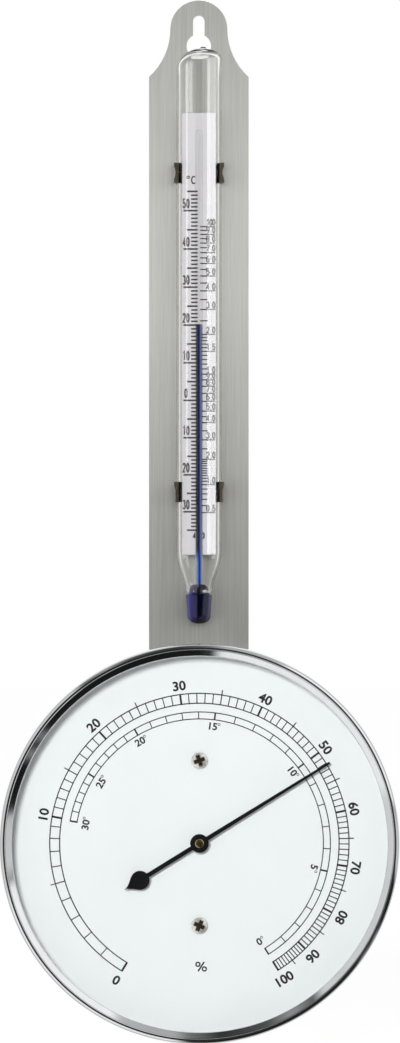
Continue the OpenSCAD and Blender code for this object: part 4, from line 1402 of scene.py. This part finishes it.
@dataclass
class Dial(Assembly):
    """Lacquered dial with its print and its two screws."""

    front: float = 22.1
    screw_offset: float = 21.3
    screw_leans: tuple[float, float] = (20.0, 65.0)
    head_r: float = 2.1
    head_h: float = 1.5
    recess: float = 1.1
    arm_half: float = 0.54
    arm_len: float = 1.55
    shank_r: float = 1.0
    shank_len: float = 7.0
    # Per cent scale: its rings, the ends of longer ticks, and the middle and height of its numbers.
    percent_in: float = 36.05
    percent_out: float = 38.6
    ten_r: float = 38.7
    five_r: float = 39.9
    percent_w: float = 0.3
    percent_tick_w: tuple[float, float, float] = (0.27, 0.29, 0.52)
    number_r: float = 40.85
    flipped_r: float = 41.35
    number_h: float = 2.3
    # Dew-point scale: the same, with the middle of numbers at the sides and elsewhere.
    dew_in: float = 32.0
    dew_out: float = 33.8
    dew_w: float = 0.27
    dew_tick_w: tuple[float, float] = (0.26, 0.44)
    dew_side_r: float = 29.75
    dew_number_r: float = 30.3
    dew_number_h: float = 1.75
    past: float = 0.3  # Degrees by which the rings go past their last ticks.
    stretch: float = 1.05
    bold: float = 0.03
    humid_at: tuple[float, ...] = (
        211.2, 221.35, 230.45, 239.0, 247.1, 254.2, 260.75, 266.7, 271.8, 276.5, 280.2,
    )
    decades: tuple[float, ...] = (280.2, 318.05, 352.6, 384.7, 412.9, 437.5, 459.0, 477.7, 495.0, 508.2)
    dew_at: tuple[float, ...] = (508.1, 462.5, 412.8, 367.0, 330.3, 302.0, 279.7)

    def humidity(self) -> np.ndarray:
        """Clock angle of every per cent from 0 to 100: read up to 10, even inside each further decade."""
        rest = np.interp(np.arange(11, 101), np.arange(10, 101, 10), self.decades)
        return np.concatenate([self.humid_at, rest])

    def build(self) -> list[bpy.types.Object]:
        """Dresses the dial, prints it and sets the screws.

        Returns:
            The pieces in order.
        """
        lacquer = smooth_copy("dial", Palette.LACQUER, 30.0)
        sheet = Printer(self.front)
        self.print_humidity(sheet)
        self.print_dew(sheet)
        return [lacquer, sheet.piece("dial_print", DIAL_DROP, "dial_lacquer"), self.screws()]

    def print_humidity(self, sheet: Printer) -> None:
        """Outer scale: two rings, ticks at each per cent, numbers at the tens and a per cent sign.

        Args:
            sheet: The print.
        """
        percent = self.humidity()
        for radius in (self.percent_out, self.percent_in):
            sheet.ring(radius, self.percent_w, percent[0] - self.past, percent[-1] + self.past)
        number = np.arange(101)
        one_w, five_w, ten_w = self.percent_tick_w
        sheet.spokes(percent[number % 5 != 0], self.percent_in, self.percent_out, one_w)
        sheet.spokes(percent[number % 10 == 5], self.percent_in, self.five_r, five_w)
        sheet.spokes(percent[number % 10 == 0], self.percent_in, self.ten_r, ten_w)
        for value in range(0, 101, 10):
            flipped = value in (0, 80, 90, 100)
            radius = self.flipped_r if flipped else self.number_r
            self.numeral(sheet, str(value), float(percent[value]), radius, self.number_h, flipped, False)
        sheet.bars([[-0.35, -33.1]], [[1.25, -30.7]], 0.42)
        for spot in ((-0.38, -31.3), (1.28, -32.5)):
            sheet.degree_mark(spot, 0.7, 0.38)

    def print_dew(self, sheet: Printer) -> None:
        """Inner scale of dew-point differences: two rings, ticks at each degree and numbers at the fives.

        Args:
            sheet: The print.
        """
        degree = np.interp(np.arange(31), np.arange(0, 31, 5), self.dew_at)
        for radius in (self.dew_out, self.dew_in):
            sheet.ring(radius, self.dew_w, degree[-1] - self.past, degree[0] + self.past)
        number = np.arange(31)
        one_w, five_w = self.dew_tick_w
        sheet.spokes(degree[number % 5 != 0], self.dew_in, self.dew_out, one_w)
        sheet.spokes(degree[number % 5 == 0], self.dew_in - 0.1, self.dew_out + 0.1, five_w)
        for value in range(0, 31, 5):
            radius = self.dew_side_r if value in (0, 25, 30) else self.dew_number_r
            self.numeral(sheet, str(value), float(degree[value]), radius, self.dew_number_h, value == 0, True)

    def numeral(self, sheet: Printer, words: str, clock: float, radius: float, height: float, flipped: bool,
                sign: bool) -> None:
        """A number on a circle, its top outward, or to the centre when flipped.

        Args:
            sheet: The print.
            words: The number.
            clock: Clock angle of its middle.
            radius: Radius of its middle.
            height: Height of a figure.
            flipped: Turns it by half a turn.
            sign: Adds a degree sign.
        """
        lean = clock + (180.0 if flipped else 0.0)
        out, right, up = clock_rays([clock, lean + 90.0, lean])
        middle = out * radius - (right * height * 0.19 if sign else 0.0)
        sheet.text(words, middle, height, lean, self.stretch, self.bold)
        if sign:
            wide = 0.33 * height * len(words)
            spot = middle + right * (wide + height * 0.28) + up * height * 0.36
            sheet.degree_mark(tuple(spot), height * 0.2, height * 0.09)

    def screws(self) -> bpy.types.Object:
        """Pan heads with a cross recess, and their shanks.

        Returns:
            The piece.
        """
        shank = np.array([
            [0.0, self.front], [self.shank_r, self.front], [self.shank_r, self.front - self.shank_len + 0.4],
            [0.6, self.front - self.shank_len], [0.0, self.front - self.shank_len],
        ])
        shapes = []
        for y, lean in zip((self.screw_offset, -self.screw_offset), self.screw_leans):
            shapes += [self.screw_head(y, lean), lathe(shank, 24, (0.0, y), False)]
        made = Shape.joined(shapes).on_sheet(DIAL_DROP).piece("dial_screws_pressed", Palette.SCREW, 40.0)
        return attach(made, Body.FRAME, "dial_screws")

    def screw_head(self, y: float, lean: float) -> Shape:
        """One head, as a height over (r, a), with a skirt down to the dial.

        With R the head's radius and e from 0 to 1 over the outermost tenth of it, the height is
        head_h - 0.42 (r / R) ** 2.6 - 0.35 (1 - sqrt(1 - e ** 2)), less the recess where an arm of the cross is.
        An arm ends with a slope, 0.14 wide at its sides and 0.4 at its tip.

        Args:
            y: Its place above the dial's centre.
            lean: Angle of the cross in degrees.

        Returns:
            The head in drawing points.
        """
        flat_r, edge_r = self.head_r * 0.9, self.head_r * 0.1
        r = np.concatenate([np.linspace(0.0, flat_r, 60), arc((flat_r, 0.0), edge_r, 90.0, 0.0, 8)[1:, 0]])
        radius, turn = np.meshgrid(r, np.radians(np.linspace(0.0, 360.0, 192, endpoint=False)), indexing="ij")
        edge = np.clip((radius - flat_r) / edge_r, 0.0, 1.0)
        head = self.head_h - 0.42 * (radius / self.head_r) ** 2.6 - 0.35 * (1 - np.sqrt(1 - edge ** 2))
        depth = np.zeros_like(radius)
        for quarter in (0.0, math.pi / 2):
            arm = turn - math.radians(lean) - quarter
            u, v = np.abs(radius * np.cos(arm)), np.abs(radius * np.sin(arm))
            cover = np.clip((self.arm_half - v) / 0.14, 0.0, 1.0) * np.clip((self.arm_len - u) / 0.4, 0.0, 1.0)
            depth = np.maximum(depth, cover)
        height = self.front + head - self.recess * depth
        top = np.stack([radius * np.cos(turn), y + radius * np.sin(turn), height], -1)
        skirt = top[-1:].copy()
        skirt[..., 2] = self.front
        base = np.broadcast_to([0.0, y, self.front], skirt.shape)
        return Shape.grid(np.concatenate([top, skirt, base]), False)


@dataclass
class Pointer(Assembly):
    """Black pointer with its turned brass boss."""

    boss_r: float = 1.152
    low: float = 24.1
    high: float = 25.5
    round_r: float = 0.12
    bore_r: float = 0.5
    sunk: float = 0.5

    def build(self) -> list[bpy.types.Object]:
        """The blade and the arbor get fine bevels; the boss is a ring with a sunk middle and rounded edges.

        Returns:
            The pieces in order.
        """
        blade = smooth_copy("pointer", Palette.BLACK, 30.0, 0.04)
        arbor = smooth_copy("pointer_arbor", Palette.BOSS, 30.0, 0.05)
        profile = np.array([
            [self.bore_r, self.low], [self.boss_r, self.low], [self.boss_r, self.high - self.round_r],
            [self.boss_r - 0.04, self.high - 0.04], [self.boss_r - self.round_r, self.high],
            [0.72, self.high], [0.69, self.high - 0.05], [0.66, self.high - self.sunk],
            [self.bore_r, self.high - self.sunk],
        ])
        boss = lathe(profile, 96).on_sheet(DIAL_DROP).piece("pointer_boss_turned", Palette.BOSS, 40.0)
        return [blade, arbor, attach(boss, Body.POINTER, "pointer_boss")]


@dataclass
class Movement(Assembly):
    """Gear pair, hairspring, hair and adjuster behind the dial."""

    hair_x: float = -10.0595
    low: float = -9.895
    high: float = 34.1
    hair_h: float = 13.75
    strands: int = 5
    strand_r: float = 0.07
    strand_step: float = 0.2
    strand_sides: int = 8
    finishes: dict[str, Finish] = field(default_factory=lambda: {
        "posts": Palette.BRASS, "movement_plate": Palette.BRASS, "bridge": Palette.BRASS, "pillars": Palette.BRASS,
        "pillar_nuts": Palette.NICKEL, "pointer_front_bush": Palette.BRASS, "pointer_rear_bush": Palette.BRASS,
        "sector_bushes": Palette.BRASS, "sector_arbor": Palette.STEEL, "sector_gear": Palette.BRASS,
        "hair_crank": Palette.BRASS, "lower_ferrule": Palette.NICKEL, "pinion": Palette.STEEL,
        "spring_collet": Palette.BRASS, "hairspring": Palette.BLUED, "spring_stud": Palette.BRASS,
        "adjuster_bush": Palette.BRASS, "adjuster_washer": Palette.NICKEL, "adjuster_stud": Palette.BRASS,
        "adjuster_arm": Palette.BRASS, "upper_ferrule": Palette.NICKEL,
    })

    def build(self) -> list[bpy.types.Object]:
        """Dresses the metal, and strings the hair in two runs that meet in its middle.

        Returns:
            The pieces in order.
        """
        metal = [smooth_copy(node, finish) for node, finish in self.finishes.items()]
        middle = (self.low + self.high) / 2
        lower = self.hair("hair_lower", self.low, middle, Body.SECTOR)
        return metal + [lower, self.hair("hair_upper", middle, self.high, Body.ADJUSTER)]

    def hair(self, name: str, start: float, end: float, body: Body) -> bpy.types.Object:
        """One run of strands, baked in place where it is drawn.

        Args:
            name: The piece's name.
            start: Lower end on the dial.
            end: Upper end on the dial.
            body: The sector at the lower end, or the adjuster at the upper.

        Returns:
            The piece.
        """
        run = np.linspace(start, end, 40)
        places = range(self.strands)
        made = Shape.joined(self.strand(run, place) for place in places).on_sheet(DIAL_DROP)
        made = made.piece(name, Palette.HAIR, 60.0)
        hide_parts("hair_bundle")
        ends = (start, end) if body is Body.ADJUSTER else (end, start)
        fixed, moving = ((self.hair_x * MM, -self.hair_h * MM, (y - DIAL_DROP) * MM) for y in ends)
        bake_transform(made)
        return made

    def strand(self, run: np.ndarray, place: int) -> Shape:
        """A thin tube along y with a slight wave: (w + r cos a, y, h + r sin a), w = x + 0.012 sin(1.7 y + place).

        Args:
            run: Heights on the dial, shape (n,).
            place: Its number in the bundle.

        Returns:
            The strand in drawing points.
        """
        angle = np.linspace(0.0, 2 * math.pi, self.strand_sides, endpoint=False)[None, :]
        y = run[:, None]
        waist = self.hair_x + (place - (self.strands - 1) / 2) * self.strand_step + 0.012 * np.sin(y * 1.7 + place)
        points = np.stack([
            waist + self.strand_r * np.cos(angle), y + 0 * angle, self.hair_h + self.strand_r * np.sin(angle) + 0 * y,
        ], -1)
        return Shape.grid(points, False).capped(self.strand_sides)


# ---- studio


@dataclass(frozen=True)
class Lamp:
    """Area lamp that the camera doesn't see, in metres and watts.

    It lights matt surfaces, shows in shiny ones, or both, on the receivers alone or on every piece.
    """

    name: str
    place: Point
    size: tuple[float, float]
    power: float
    target: Point = (0.0, 0.0, -0.04)
    matt: bool = False
    shiny: bool = True
    receivers: tuple[str, ...] = ()

    def build(self) -> None:
        """Adds the lamp, turned by (acos(-dz / |d|), 0, atan2(-dx, dy)) to face along d, from place to target."""
        data = bpy.data.lights.new(self.name, "AREA")
        data.shape = "RECTANGLE"
        data.size, data.size_y = self.size
        data.energy = self.power
        lamp = bpy.data.objects.new(self.name, data)
        lamp.location = self.place
        dx, dy, dz = (t - p for t, p in zip(self.target, self.place))
        lamp.rotation_euler = (math.acos(-dz / math.hypot(dx, dy, dz)), 0.0, math.atan2(-dx, dy))
        lamp.visible_camera = False
        lamp.visible_diffuse = self.matt
        lamp.visible_glossy = self.shiny
        lamp.visible_transmission = False
        if self.receivers:
            group = bpy.data.collections.new(f"{self.name}_receivers")
            for piece in self.receivers:
                group.objects.link(bpy.data.objects[piece])
            lamp.light_linking.receiver_collection = group
        bpy.context.scene.collection.objects.link(lamp)


BLOWN = ("glass_jacket_drawn", "bulb_blown", "bulb_spirit_filled")


@dataclass
class Studio(Assembly):
    """Pale floor, soft lamps, a surrounding of soft panels and the camera, in metres.

    The main light near the camera is for matt surfaces, and the soft boxes are for shiny ones.
    The panels are (clock angle from straight down, grey), all round on the camera's side.
    """

    floor_z: float = -0.2645
    floor_half: float = 4.0
    camera_at: Point = (-0.012, -1.8, -0.12407)
    camera_turn: float = -0.392
    lens: float = 237.8
    sensor: float = 36.0
    panel_light: float = 1.15
    side_light: float = 0.5
    camera_light: float = 0.03
    matt_light: float = 0.22
    panels: tuple[tuple[int, float], ...] = (
        (0, 0.02), (3, 0.02), (6, 0.82), (68, 0.82), (73, 0.62), (138, 0.6), (142, 0.1), (150, 0.28), (158, 0.08),
        (174, 0.03), (184, 0.16), (188, 0.38), (206, 0.45), (211, 1.0), (260, 1.0), (263, 0.3), (268, 0.58),
        (281, 0.52), (284, 0.01), (298, 0.01), (301, 0.22), (304, 0.01), (307, 0.2), (310, 0.01), (360, 0.01),
    )
    lamps: tuple[Lamp, ...] = (
        Lamp("main_light", (-0.25, -1.6, 0.1), (0.26, 0.26), 21.0, (0.0, 0.0, -0.14), matt=True, shiny=False),
        Lamp("front_box", (0.0, -0.5, -0.032), (0.19, 0.1), 0.185, receivers=("back_plate_dressed",)),
        Lamp("near_box", (0.62, -0.5, -0.04), (0.3, 0.36), 2.3, receivers=BLOWN),
        Lamp("right_box", (0.985, -0.174, 0.05), (0.6, 0.5), 4.8, receivers=BLOWN),
        Lamp("left_box", (-0.906, -0.423, 0.05), (0.22, 0.3), 0.8, receivers=BLOWN),
    )

    def build(self) -> list[bpy.types.Object]:
        """Sets the view, world, lamps, floor and camera.

        Returns:
            The pieces in order.
        """
        bpy.context.scene.view_settings.view_transform = "Standard"
        self.world()
        for lamp in self.lamps:
            lamp.build()
        floor = self.floor()
        self.camera()
        return [floor]

    def camera(self) -> None:
        """The photograph's camera, level and a little turned."""
        data = bpy.data.cameras.new("camera")
        data.lens = self.lens
        data.sensor_width = self.sensor
        camera = bpy.data.objects.new("camera", data)
        camera.location = self.camera_at
        camera.rotation_euler = (math.radians(90.0), 0.0, math.radians(self.camera_turn))
        bpy.context.scene.collection.objects.link(camera)
        bpy.context.scene.camera = camera

    def world(self) -> None:
        """White for the camera and behind the object, the panels for shiny pieces, an even level for matt ones."""
        world = bpy.data.worlds.new("studio")
        world.use_nodes = True
        bpy.context.scene.world = world
        tree = Tree(world.node_tree)
        x, y, z = tree.axes(tree.node("ShaderNodeTexCoord").outputs["Generated"])
        clock = x.math("ARCTAN2", x, z) / (2 * math.pi) + 0.5
        pattern = Value(tree, tree.ramp([(place / 360.0, grey(level)) for place, level in self.panels], clock))
        ahead = (0 - y).smooth(0.3, 0.45)
        facing = (0 - y).smooth(0.9, 0.97)
        level = pattern * self.panel_light * ahead + self.side_light * (1.0 - ahead)
        level = level * (1.0 - facing) + self.camera_light * facing
        level = level + (1.0 - level) * y.smooth(0.0, 0.35)
        matt, seen = tree.rays("Is Diffuse Ray", "Is Camera Ray")
        level = level * (1.0 - matt) + self.matt_light * matt
        light = tree.node("ShaderNodeBackground", None, {"Color": tree.mix(level, grey(0.0), grey(1.0))}).outputs[0]
        white = tree.node("ShaderNodeBackground", None, {"Color": grey(1.0)}).outputs[0]
        tree.node("ShaderNodeOutputWorld", None, {"Surface": tree.mix_shaders(seen, light, white)})

    def floor(self) -> bpy.types.Object:
        """A square floor under the object.

        Returns:
            The piece.
        """
        corners = np.array([[-1, -1, 0], [1, -1, 0], [1, 1, 0], [-1, 1, 0]]) * self.floor_half + [0, 0, self.floor_z]
        made = Shape(corners / MM, [[0, 1, 2, 3]]).piece("floor", Palette.FLOOR)
        return made


def main() -> None:
    """Builds the instrument in order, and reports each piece."""
    logging.basicConfig(level=logging.INFO, format="%(name)s: %(message)s")
    assemblies: list[Assembly] = [HangingPlate(), Thermometer(), Case(), Dial(), Pointer(), Movement(), Studio()]
    for assembly in assemblies:
        for piece in assembly.build():
            LOG.info("%s: %s", type(assembly).__name__, piece.name)


if __name__ == "__main__":
    main()
